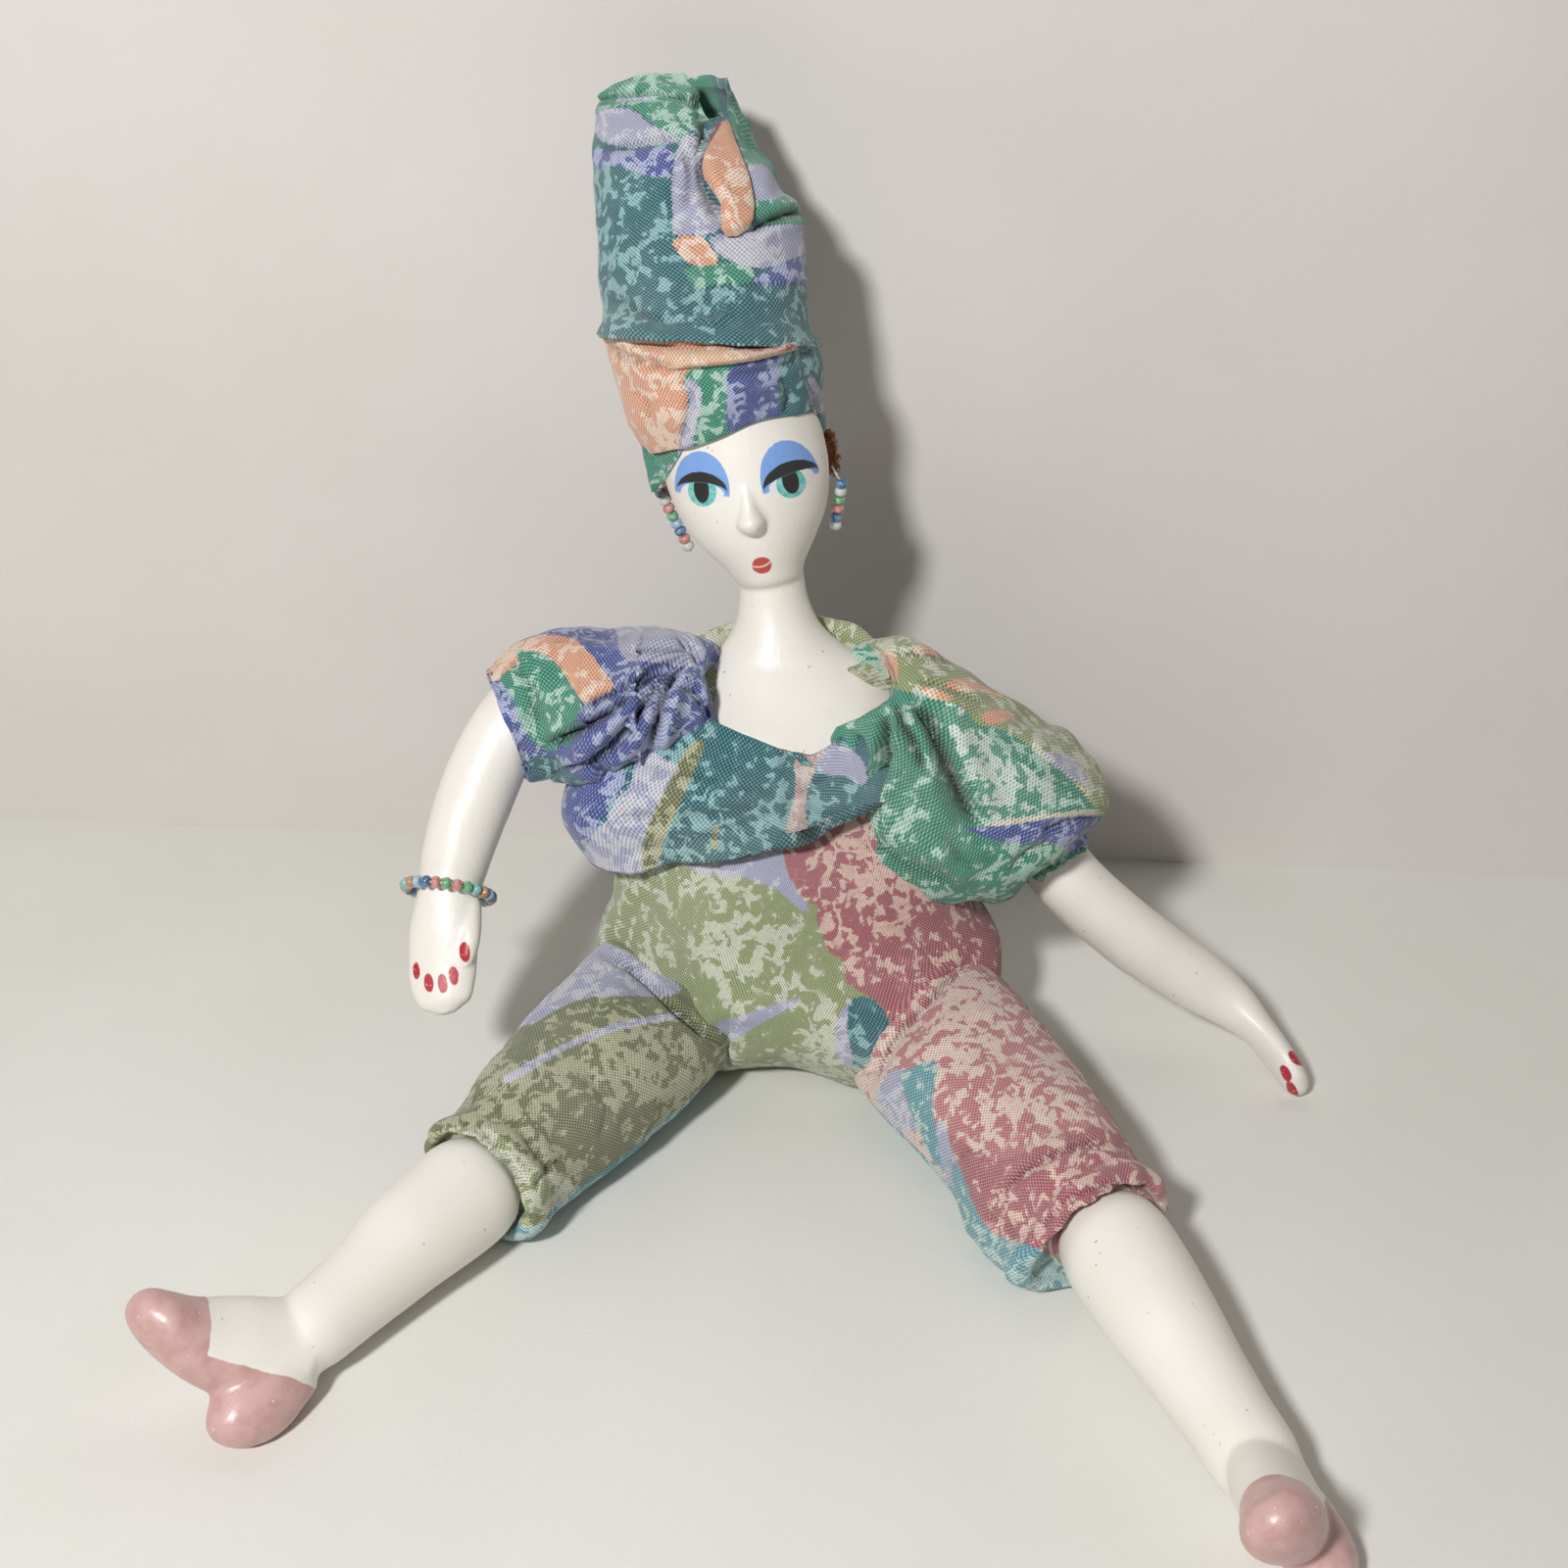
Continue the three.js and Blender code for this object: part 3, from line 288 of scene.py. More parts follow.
# Folds drawn as lines in the picture, and small uneven waves
def to_path(px, path):
    """Signed distance of each pixel to a line of points, and how far along the line it is."""
    path = np.array(path, float)
    ends = np.linalg.norm(np.diff(path, axis=0), axis=1)
    start = np.concatenate([[0], np.cumsum(ends)])
    best = np.full(len(px), 1e9)
    share = np.zeros(len(px))
    for k, (a, b) in enumerate(zip(path[:-1], path[1:])):
        d = (b - a) / ends[k]
        along = np.clip((px - a) @ d, 0, ends[k])
        off = px - a - along[:, None] * d
        far = np.hypot(off[:, 0], off[:, 1])
        sign = np.sign(d[0] * off[:, 1] - d[1] * off[:, 0])
        closer = far < np.abs(best)
        best[closer] = (far * np.where(sign == 0, 1, sign))[closer]
        share[closer] = ((start[k] + along) / start[-1])[closer]
    return best, share


def fading_ends(share):
    """How deep a fold is along its length: 0 at both ends, 1 between."""
    return smooth(share / 0.18) * smooth((1 - share) / 0.22)


def folded(points, normals, lines):
    """Presses valleys with a rounded bank on each side into cloth, along lines in the picture."""
    px = pixels(points)
    facing = smooth((facing_viewer(points, normals) + 0.05) / 0.35)
    move = np.zeros(len(points))
    for path, width, depth in lines:
        far, share = to_path(px, path)
        x = far / width
        valley = 0.8 * np.exp(-((x / 0.5) ** 2)) + 0.8 * np.exp(-((x / 0.18) ** 2))
        bank = np.exp(-(((np.abs(x) - 1.15) / 0.6) ** 2))
        ends = fading_ends(share)
        move += depth * (0.5 * bank - valley) * (0.15 + 0.85 * ends) * np.where(np.abs(x) < 3, 1, 0)
    return points + normals * (move * facing)[:, None]


def reshaped(points, pulls):
    """Moves cloth across the picture: each pull takes what lies round one pixel to another."""
    px = pixels(points)
    depth = (points - CAMERA_AT) @ FORWARD
    near = np.array([np.exp(-((px - start) ** 2).sum(1) / reach ** 2) for start, _, reach in pulls])
    near /= np.maximum(1, near.sum(0))
    shift = np.array([RIGHT * (end[0] - start[0]) + DOWN * (end[1] - start[1]) for start, end, _ in pulls])
    return points + (near.T @ shift) * (depth / FOCAL)[:, None]


def lapped(points, normals, lines):
    """Raises the cloth above a lap's edge, with a clean step at the edge. Lines run left to right."""
    px = pixels(points)
    facing = smooth((facing_viewer(points, normals) + 0.05) / 0.35)
    move = np.zeros(len(points))
    for path, reach, height in lines:
        far, share = to_path(px, path)
        ends = smooth(share / 0.06) * smooth((1 - share) / 0.06)
        move += height * smooth(-far / 1.6 + 0.5) * (1 - smooth(-far / reach)) * ends
    return points + normals * (move * facing)[:, None]


def drawn_in(points, side, edge):
    """Pulls cloth back behind an edge in the picture, so that it bunches up along it."""
    px = pixels(points)
    edge = np.array(edge, float)
    line = np.interp(px[:, 1], edge[:, 1], edge[:, 0])
    past = (px[:, 0] - line) * (1 if side == "right" else -1)
    within = smooth((px[:, 1] - edge[0, 1]) / 6 + 1) * smooth((edge[-1, 1] - px[:, 1]) / 14 + 1)
    seen = smooth((26 - points[:, 1]) / 8)
    pull = np.where(past > -8, (past + 8) ** 2 / 32, 0) * (past < 8) + past * (past >= 8)
    shift = 0.93 * pull * within * seen / PIXELS_PER_MM * (-1 if side == "right" else 1)
    return points + np.outer(shift, (1, 0, 0))


def uneven(points, normals, size, depth, seed=0.0):
    """Small soft waves, so that no surface is a clean sweep."""
    shift = Vector((seed, 2.3 * seed, -1.7 * seed))
    waves = np.array([noise.noise(Vector(p) / size + shift) for p in points.tolist()])
    return points + normals * (waves * depth)[:, None]


def gathered(points, normals, share, angle, count, depth, reach, seed=0):
    """Puckers that run in from a gathered edge, of uneven depth and length."""
    draw = np.random.default_rng(seed)
    move = np.zeros(len(points))
    for k in range(count):
        at = 2 * math.pi * (k + draw.uniform(-0.3, 0.3)) / count
        wide = draw.uniform(0.35, 0.6) * 2 * math.pi / count
        long = reach * draw.uniform(0.6, 1.3)
        off = (angle - at + math.pi) % (2 * math.pi) - math.pi
        fade = np.exp(-((share / long) ** 2))
        move += draw.uniform(0.6, 1.2) * np.exp(-((off / wide) ** 2)) * fade
    return points + normals * ((move - 0.5) * depth * np.exp(-((share / (1.3 * reach)) ** 2)))[:, None]


# Materials
class Wire:
    """A socket of a material. Arithmetic on it adds Math nodes."""

    def __init__(self, surface, socket):
        self.surface, self.socket = surface, socket

    def math(self, operation, *others, clamp=False):
        settings = {"operation": operation, "use_clamp": clamp}
        return self.surface.node("Math", settings, dict(enumerate((self, *others))))

    def __add__(self, other):
        return self.math("ADD", other)

    def __sub__(self, other):
        return self.math("SUBTRACT", other)

    def __mul__(self, other):
        return self.math("MULTIPLY", other)

    def __truediv__(self, other):
        return self.math("DIVIDE", other)

    def __rsub__(self, other):
        return self.surface.node("Math", {"operation": "SUBTRACT"}, {0: other, 1: self})

    __radd__, __rmul__ = __add__, __mul__

    def __abs__(self):
        return self.math("ABSOLUTE")

    def sine(self):
        return self.math("SINE")

    def most(self, other):
        return self.math("MAXIMUM", other)

    def rises(self, low, high):
        """0 below low and 1 above high, eased between."""
        sockets = {"Value": self, "From Min": low, "From Max": high}
        return self.surface.node("MapRange", {"interpolation_type": "SMOOTHSTEP"}, sockets)


def tint(code, alpha=1.0):
    """A colour written as on screen, as the light it reflects."""
    parts = [int(code[i : i + 2], 16) / 255 for i in (1, 3, 5)]
    return [p / 12.92 if p <= 0.04045 else ((p + 0.055) / 1.055) ** 2.4 for p in parts] + [alpha]


class Surface:
    """A material or world under way, with one method that makes its nodes."""

    def __init__(self, name, owner=None):
        self.material = owner or bpy.data.materials.new(name)
        self.material.use_nodes = True
        self.tree = self.material.node_tree
        self.shader = self.tree.nodes.get("Principled BSDF")

    def node(self, kind, settings=None, sockets=None, out=0):
        made = self.tree.nodes.new("ShaderNode" + kind)
        for key, value in (settings or {}).items():
            setattr(made, key, value)
        for key, value in (sockets or {}).items():
            self.feed(made.inputs[key], value)
        return Wire(self, made.outputs[out])

    def feed(self, socket, value):
        if isinstance(value, Wire):
            self.tree.links.new(value.socket, socket)
        else:
            socket.default_value = value

    def mix(self, factor, one, other, blend="MIX"):
        settings = {"data_type": "RGBA", "blend_type": blend}
        colours = [tint(c) if isinstance(c, str) else c for c in (one, other)]
        return self.node("Mix", settings, {0: factor, 6: colours[0], 7: colours[1]}, out=2)

    def vector(self, operation, one, other):
        return self.node("VectorMath", {"operation": operation}, {0: one, 1: other})

    def dot(self, one, other):
        return self.node("VectorMath", {"operation": "DOT_PRODUCT"}, {0: one, 1: other}, out=1)

    def parts(self, one):
        made = self.node("SeparateXYZ", None, {0: one})
        outputs = made.socket.node.outputs
        return [Wire(self, outputs[k]) for k in range(3)]

    def cloud(self, at, scale, detail=2.0, rough=0.5, distortion=0.0, out=0):
        sockets = {"Vector": at, "Scale": scale, "Detail": detail, "Roughness": rough}
        return self.node("TexNoise", None, {**sockets, "Distortion": distortion}, out=out)

    def lay(self):
        return self.node("Attribute", {"attribute_name": "lay"}, out=1)

    def finish(self, colour, roughness, height=None, relief=0.0001, **fixed):
        self.feed(self.shader.inputs["Base Color"], colour)
        self.feed(self.shader.inputs["Roughness"], roughness)
        for key, value in fixed.items():
            self.shader.inputs[key.replace("_", " ")].default_value = value
        if height is not None:
            sockets = {"Height": height, "Distance": relief, "Strength": 1.0}
            self.feed(self.shader.inputs["Normal"], self.node("Bump", None, sockets))
        return self.material


# The print is large painterly areas, each with its own paler blotches, on a plain weave.
# An ink is its deep colour, its pale one, and how much of it the pale one covers.
THREAD = 0.46
PIXELS_PER_MM = 4.3
INKS = {
    "sage": ("#93a070", "#d5d7c3", 0.6),
    "olive": ("#6e754d", "#b9b998", 0.4),
    "rose": ("#aa5f6a", "#e8c6b8", 0.75),
    "blush": ("#bd777a", "#ebd3c6", 1.1),
    "teal": ("#17656f", "#8dbcbf", 0.15),
    "shell": ("#c6aaa6", "#e3d3ce", 0.6),
    "sea": ("#2b8a72", "#b3d8c8", 0.35),
    "mint": ("#4f9d85", "#d6e7dd", 0.95),
    "peach": ("#e2a686", "#f5dbc6", 0.5),
    "apricot": ("#e6bc99", "#f4dcc5", 0.6),
    "lavender": ("#a9acc8", "#d0d1dc", 0.5),
    "blue": ("#44559a", "#aeb8d9", 0.55),
    "plum": ("#6d4358", "#a78a98", 0.3),
    "aqua": ("#5a9ba6", "#bcd6d4", 0.5),
    "cream": ("#dfdac8", "#ece6da", 0.3),
}


def outline_depth(px, outline):
    """How far inside a closed outline each pixel is, below 0 outside. The outline's corners are rounded."""
    line = np.array(outline, float)
    for _ in range(2):
        ahead = np.roll(line, -1, axis=0)
        line = np.stack([0.75 * line + 0.25 * ahead, 0.25 * line + 0.75 * ahead], 1).reshape(-1, 2)
    far, odd = np.full(len(px), 1e9), np.zeros(len(px), bool)
    for a, b in zip(line, np.roll(line, -1, axis=0)):
        d = b - a
        t = np.clip(((px - a) @ d) / (d @ d), 0, 1)
        far = np.minimum(far, np.hypot(*(px - a - t[:, None] * d).T))
        crosses = (a[1] > px[:, 1]) != (b[1] > px[:, 1])
        odd ^= crosses & (px[:, 0] < a[0] + (px[:, 1] - a[1]) * d[0] / (d[1] or 1e-9))
    return np.where(odd, far, -far)


PRINT_SEED, PRINT_DRIFT = 1, 15
WANDER_BEHIND = 55


def draw_print(obj, areas, folds=(), wander=5.0, seed=0.0):
    """Keeps how far inside each printed area a point is, in millimetres, and how deep in a fold, which
    darkens the cloth as painted shade.

    An area is an outline in the picture, which strays more on the far side, or a rule on points.
    """
    points, normals = read(obj)
    facing = facing_viewer(points, normals)
    behind = smooth((0.3 - facing) / 0.7)
    # Painted shade in the creases: how much each fold line darkens the cloth's colour, kept only where the
    # cloth faces the viewer.
    crease = np.zeros(len(points))
    for path, width, depth in folds:
        far, share = to_path(pixels(points), path)
        ends = fading_ends(share)
        crease = np.maximum(crease, np.exp(-((far / width / 0.3) ** 2)) * ends * min(depth / 2.4, 1))
    keep(obj, "fold", crease * smooth(facing / 0.3))
    # Without a set seed, noise_vector differs from run to run
    noise.seed_set(PRINT_SEED)
    shift = Vector((seed, 0, 0))
    drift = np.array([noise.noise_vector(Vector(p) / PRINT_DRIFT + shift) for p in points.tolist()])
    px = pixels(points) + drift[:, :2] * (wander + WANDER_BEHIND * behind)[:, None]
    for k, (_, area) in enumerate(areas):
        far = area(points) if callable(area) else outline_depth(px, area) / PIXELS_PER_MM
        keep(obj, f"area_{k}", far)


def cloth(name, ground, areas=(), size=1.0):
    """Printed plain weave, each area in its ink, with painted shade in the folds and between the threads, and
    painted highlights on the thread tops.
    """
    s = Surface(name)
    lay = s.lay()
    threads = s.node("UVMap", {"uv_map": "threads"})
    u, v, _ = s.parts(threads)
    slub = s.cloud(threads, 1.1, 2, 0.6)
    across = (u * (math.pi / THREAD) + slub * 1.3).sine()
    along = (v * (math.pi / THREAD) + slub * 1.3).sine()
    over = across * along * 0.5 + 0.5
    frayed = (over - 0.5) * 0.45 + (s.cloud(lay, 1.1, 3, 0.6) - 0.5) * 1.9
    deep, pale, amount = tint(INKS[ground][0]), tint(INKS[ground][1]), INKS[ground][2]
    for k, (ink, _) in enumerate(areas):
        far = s.node("Attribute", {"attribute_name": f"area_{k}"}, out=2)
        mask = (far + frayed).rises(-0.14, 0.14)
        deep = s.mix(mask, deep, INKS[ink][0])
        pale = s.mix(mask, pale, INKS[ink][1])
        amount = mask * (INKS[ink][2] - amount) + amount
    region = s.cloud(lay, 0.045, 2, 0.5)
    mottle = s.cloud(lay, 0.9, 3, 0.65)
    dabs = s.cloud(lay, 0.3 / size, 3, 0.55, 0.35) + (mottle - 0.5) * 0.16
    level = dabs + (region - 0.5) * 0.5
    patch = (level - (0.6 - 0.09 * amount)).rises(-0.012, 0.012)
    ring = abs(s.cloud(lay, 0.16 / size, 1, 0.3, 0.3) - 0.5) + (mottle - 0.5) * 0.04
    broken = s.cloud(lay, 0.33 / size, 1, 0.4).rises(0.47, 0.5) * (region + 0.1 * amount).rises(0.5, 0.56)
    patch = patch.most((1 - ring.rises(0.04, 0.052)) * broken)
    faded = s.cloud(lay, 0.3 / size, 3, 0.6).rises(0.45, 0.7)
    colour = s.mix(0.22 * faded, deep, pale)
    colour = s.mix(patch * (0.72 + 0.28 * mottle.rises(0.35, 0.6)), colour, pale)
    worn = s.cloud(lay, 0.03, 2, 0.5).rises(0.35, 0.75)
    colour = s.mix(0.1 * worn, colour, "#e9e4da")
    # Painted shade between the threads: the weave's gaps darken the colour.
    weave_shade = s.mix(over.rises(0.0, 0.6), "#4e4c52", "#ffffff")
    colour = s.mix(0.62, colour, weave_shade, "MULTIPLY")
    # Painted shade: the folds darken the colour.
    fold = s.node("Attribute", {"attribute_name": "fold"}, out=2)
    colour = s.mix(0.9 * fold, colour, "#4a4048", "MULTIPLY")
    # Painted highlight: the tops of the threads are lightened.
    colour = s.mix(0.3 * over.rises(0.6, 0.98) * (0.5 + slub), colour, "#f7f3ea")
    return s.finish(colour, 0.84, over * 0.8 + slub * 0.5, 0.00016, Sheen_Weight=0.2, Sheen_Roughness=0.5)


def paint_ground(s, lay, base="#efebe4"):
    """Brushed satin white: faint strokes, a warmer cast in places, and a few dark specks."""
    strokes = s.cloud(s.vector("MULTIPLY", lay, (1.0, 1.0, 0.12)), 0.9, 4, 0.6)
    cast = s.cloud(lay, 0.05, 2, 0.5).rises(0.35, 0.7)
    colour = s.mix(0.35 * cast, base, "#e7dfd2")
    colour = s.mix(0.10 * strokes.rises(0.5, 0.8), colour, "#d3ccc0")
    speck = s.cloud(lay, 0.75, 1, 0.4).rises(0.775, 0.8)
    return s.mix(0.5 * speck, colour, "#6d655b"), strokes


def brush_edge(s, lay, far, wobble=0.35):
    """A painted edge that wavers a little: 1 inside, where far is below 0."""
    return 1 - (far + (s.cloud(lay, 0.6, 2, 0.5) - 0.5) * wobble).rises(-0.12, 0.12)


def ellipse(x, z, middle, half, turn=0.0):
    """How far a place on the face is outside an ellipse, in about millimetres."""
    c, n = math.cos(math.radians(turn)), math.sin(math.radians(turn))
    dx, dz = x - middle[0], z - middle[1]
    a = (dx * c + dz * n) / half[0]
    b = (dz * c - dx * n) / half[1]
    far = (a * a + b * b).math("SQRT")
    return (far - 1) * min(half)


def face_paint():
    """The painted face, in the head's own frame."""
    s = Surface("painted_face")
    lay = s.lay()
    x, y, z = s.parts(lay)
    colour, strokes = paint_ground(s, lay)
    front = 1 - y.rises(-5, -3)
    streak = s.cloud(s.vector("MULTIPLY", lay, (0.5, 1, 1)), 0.7, 3, 0.6)
    eyes = (
        (
            (-11.2, 27.4), (6.7, 8.8), (-11.3, 26.9), (6.2, 4.6, 2.2), (-11.1, 27.0), 3.5,
            (-11.2, 27.5), (1.85, 3.2), -10.7,
        ),
        (
            (9.3, 26.4), (6.6, 9.1), (9.5, 26.2), (6.5, 4.4, 1.6), (9.3, 25.6), 3.3,
            (9.3, 26.3), (1.85, 3.1), 10,
        ),
    )
    for dome, dome_half, lid, lid_half, iris, iris_half, pupil, pupil_half, turn in eyes:
        c, n = math.cos(math.radians(turn)), math.sin(math.radians(turn))
        upper = ((z - lid[1]) * c - (x - lid[0]) * n).rises(-0.25, 0.15)
        below = brush_edge(s, lay, ellipse(x, z, lid, (lid_half[0], lid_half[2]), turn), 0.2).most(1 - upper)
        shadow = brush_edge(s, lay, ellipse(x, z, dome, dome_half, turn / 2))
        shadow = shadow * ((z - lid[1]) * c - (x - lid[0]) * n + 0.7).rises(-0.3, 0.3)
        colour = s.mix(shadow * front * (0.86 + 0.14 * streak), colour, "#6c9ce0")
        white = brush_edge(s, lay, ellipse(x, z, (lid[0], lid[1] - 0.4), (5.3, 2.6), turn), 0.2)
        colour = s.mix(white * below * front, colour, "#e6e6e4")
        ball = brush_edge(s, lay, ellipse(x, z, iris, (iris_half, iris_half)), 0.2)
        colour = s.mix(ball * below * front, colour, s.mix(streak.rises(0.35, 0.65), "#58b5ac", "#8fd0cb"))
        dark = brush_edge(s, lay, ellipse(x, z, pupil, pupil_half, turn / 2), 0.15)
        colour = s.mix(dark * below * front, colour, "#17161a")
        arc = brush_edge(s, lay, ellipse(x, z, lid, lid_half[:2], turn), 0.3) * (1 - below)
        colour = s.mix(arc * front, colour, "#1b191c")
    lips = brush_edge(s, lay, ellipse(x, z, (-0.5, 7.8), (2.3, 2.05)), 0.25)
    parting = brush_edge(s, lay, abs(ellipse(x, z, (-0.9, 11.4), (4.0, 3.9), 10)) - 0.17, 0.1)
    colour = s.mix(lips * front, colour, "#bf4a42")
    colour = s.mix(lips * parting * front, colour, "#ecd8cf")
    fixed = {"Coat_Weight": 0.1, "Coat_Roughness": 0.25}
    return s.finish(colour, 0.36 + 0.12 * strokes, strokes, 0.0001, **fixed)


def leg_paint():
    """White leg with a dusty pink court shoe, in a frame at the ankle."""
    s = Surface("painted_leg_and_shoe")
    lay = s.lay()
    _, y, z = s.parts(lay)
    colour, strokes = paint_ground(s, lay)
    c, n = math.cos(FOOT_POINT), math.sin(FOOT_POINT)
    forward, down = z * c - y * n, z * n + y * c
    far = (forward - 24).most(down - 9.6 - (24 - forward) * 0.2)
    shoe = (far + (s.cloud(lay, 0.3, 2, 0.5) - 0.5) * 0.9).rises(-0.15, 0.15)
    pink = s.mix(s.cloud(lay, 0.22, 3, 0.6).rises(0.35, 0.7), "#cfa8a4", "#c19791")
    chip = s.cloud(lay, 0.9, 2, 0.5).rises(0.72, 0.74)
    colour = s.mix(shoe, colour, s.mix(0.8 * chip, pink, "#e9ddd6"))
    fixed = {"Coat_Weight": 0.15, "Coat_Roughness": 0.2}
    return s.finish(colour, 0.38 + 0.12 * strokes - 0.1 * shoe, strokes, 0.0001, **fixed)


def arm_paint(name, nails, along, out):
    """White arm with red nails, each an oval along its finger."""
    s = Surface(name)
    lay = s.lay()
    colour, strokes = paint_ground(s, lay)
    across = np.cross(out, along)
    for middle, wide, long in nails:
        off = s.vector("SUBTRACT", lay, tuple(middle))
        a, b = s.dot(off, tuple(across)) / wide, s.dot(off, tuple(along)) / long
        far = ((a * a + b * b).math("SQRT") - 1) * wide
        near = (s.dot(off, tuple(out)) + 2.2).rises(-0.2, 0.2)
        red = s.mix(s.cloud(lay, 1.2, 2, 0.5).rises(0.62, 0.68), "#b01e2e", "#d98d8f")
        colour = s.mix(brush_edge(s, lay, far, 0.3) * near, colour, red)
    fixed = {"Coat_Weight": 0.1, "Coat_Roughness": 0.25}
    return s.finish(colour, 0.36 + 0.12 * strokes, strokes, 0.0001, **fixed)


def glass(name, code):
    s = Surface("bead_" + name)
    at = s.node("TexCoord", None, None, out=3)
    # Painted highlights: pale streaks mixed into the glass colour, which also vary its roughness and bumps.
    streak = s.cloud(at, 900, 2, 0.5).rises(0.4, 0.7)
    colour = s.mix(0.35 * streak, code, "#f4f6f6")
    fixed = {"Transmission_Weight": 0.35, "IOR": 1.5, "Coat_Weight": 0.6, "Coat_Roughness": 0.05}
    return s.finish(colour, 0.1 + 0.1 * streak, streak, 0.00002, **fixed)


def thread_fibre(name, code, roughness=0.7):
    s = Surface(name)
    at = s.node("TexCoord", None, None, out=3)
    twist = s.cloud(s.vector("MULTIPLY", at, (1.0, 1.0, 3.0)), 2200, 3, 0.6)
    colour = s.mix(twist.rises(0.3, 0.7), code, s.mix(0.5, code, "#1d1712"))
    return s.finish(colour, roughness + 0.1 * twist, twist, 0.00005)


# Sizes that the shapes share with the solid model
HIPS = {
    "right": {"at": (-33.5, -6, 20), "crease": -36, "turn": -31, "length": 73},
    "left": {"at": (32.3, -16, 20), "crease": 35, "turn": 26.5, "length": 77},
}
KNEES = {"right": (-38, 4.3, 42, 19.6), "left": (19.5, 4.1, -35, 9.4)}
LEG_LENGTH = 65.9
FOOT_POINT = math.radians(41.5)
FOOT_LENGTH, HEEL_LENGTH = 38.8, 25.8
HEM_HEIGHT = 15.1
HEAD_AT = np.array([-5.8, 30.5, 114.0])
HEAD_LEAN, HEAD_TILT = math.radians(17), math.radians(9.5)
TRUNK_LEAN, TRUNK_TILT = math.radians(14), math.radians(-1.5)
SEAM_FACE = np.array([0, -math.cos(TRUNK_LEAN), math.sin(TRUNK_LEAN)])
SEAM_BACK = 4.0
TRUNK_HEIGHT = 99
SEAT_CLEAR, LIMB_CLEAR, SLEEVE_CLEAR = 0.1, 0.05, 0.2
HEAD_HALF_WIDTH, EAR_MIDDLE = 19.6, -1.3
BEAD_RADIUS, BEAD_LENGTH, BEAD_HOLE, BEAD_SIDES = 1.5, 2.0, 0.42, 16
BEAD_PITCH = 2.15
BRACELET_BEADS, BRACELET_RADIUS = 26, 10.1


def head_frame():
    place = np.eye(4)
    turn = Matrix.Rotation(-HEAD_TILT, 3, "Y") @ Matrix.Rotation(-HEAD_LEAN, 3, "X")
    place[:3, :3] = np.array(turn)
    place[:3, 3] = HEAD_AT
    return place


HEAD = head_frame()


def finished(obj, material, body=None):
    """Gives a piece its material, and lets it ride on a body."""
    obj.data.materials.append(material)
    if body:
        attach(obj, body)
    return obj


def sewn(grid, seam):
    """A tube of cloth as a flat cut sewn along one seam, with the angle of each column."""
    sides = grid.shape[1]
    first = round(seam / 360 * sides)
    turned = np.roll(grid, -first, axis=1)
    angle = (np.arange(sides + 1) + first) * 2 * math.pi / sides
    return np.concatenate([turned, turned[:, :1]], axis=1), angle


def read_sewn(obj, grid):
    """Points and normals of a sewn tube. The two sides of its seam share their normals."""
    points, normals = read(obj)
    rows = normals.reshape(grid.shape).copy()
    rows[:, 0] = rows[:, -1] = (rows[:, 0] + rows[:, -1]) / 2
    return points, rows.reshape(-1, 3)


def cloth_sheet(obj, grid, layers=1):
    """Measures a sheet of cloth's cut: widest across, longest along, and its own area, and keeps none of it.
    """
    wide = np.linalg.norm(np.diff(grid, axis=1), axis=2).sum(1).max() * MM
    long = np.linalg.norm(np.diff(grid, axis=0), axis=2).sum(0).max() * MM
    area = sum(face.area for face in obj.data.polygons) / layers
    area = min(max(area, 0.31 * wide * long), wide * long)


# Head, neck and shoulder plate
def head_piece():
    keys = [
        (0, -1.5, 1, 5, 5.5), (0, -1.6, 3, 7.7, 8.8), (-0.3, -1.4, 6, 9.1, 10.6),
        (-0.5, -1, 9, 11.2, 12.6), (-0.8, -0.6, 13, 14, 15), (-1, 0, 18, 16.9, 17.3),
        (-1.2, 0.3, 24, 18.7, 18.9), (-1.5, 0.6, 31, 19.6, 19.5), (-2, 1, 38.9, 19.6, 19.8),
        (-2.5, 1, 47.8, 17.6, 17.8), (-3, 1, 54.3, 13.1, 13.3), (-3, 1, 57.8, 7, 7),
        (-3, 1, 59, 1.5, 1.5),
    ]
    head = moved(HEAD, loft(keys, 60, 72, level=(0, 0, 1)))
    x, y, z = HEAD_AT
    plate_keys = [
        (0, y - 13, 80, 33, 25), (0.3, y - 10.5, 88, 29.5, 20), (0.5, y - 9, 92, 27, 17),
        (-0.3, y - 8, 95, 23.5, 14.5), (-1.5, y - 7, 97.5, 20, 12.5), (-3.3, y - 5, 101.5, 14.5, 10),
        (-4.2, y - 3.5, z - 9, 11.2, 9.5), (-5, y - 2, z - 5, 9.2, 8.6), (x, y, z + 1, 8, 8),
        (x - 0.9, y + 1.8, z + 7, 8, 8),
    ]
    plate = loft(plate_keys, 50, 72, level=(0, 0, 1))

    def nose_row(share, half_width, reach):
        along = 28 - share * 12
        face = -18.6 + 0.16 * max(0, 26 - along)
        return (-1, face + 2 - reach / 2, along, half_width, 2 + reach / 2)

    shares = (
        (0, 0.8, 0.1), (0.25, 1.7, 1), (0.6, 2.4, 3), (0.82, 3.3, 4.6), (0.95, 2.6, 4),
        (1.04, 1.2, 2.2),
    )
    nose = moved(HEAD, loft([nose_row(*share) for share in shares], 24, 32, level=(0, 0, -1)))
    obj = merged("painted_head", [head, plate, nose], 0.62, 6)
    points, normals = read(obj)
    write(obj, uneven(points, normals, 9, 0.12, 3.0))
    lay_on(obj, local(HEAD, read(obj)[0]))
    finished(obj, face_paint(), "trunk")
    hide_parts("head_and_shoulders")
    return obj


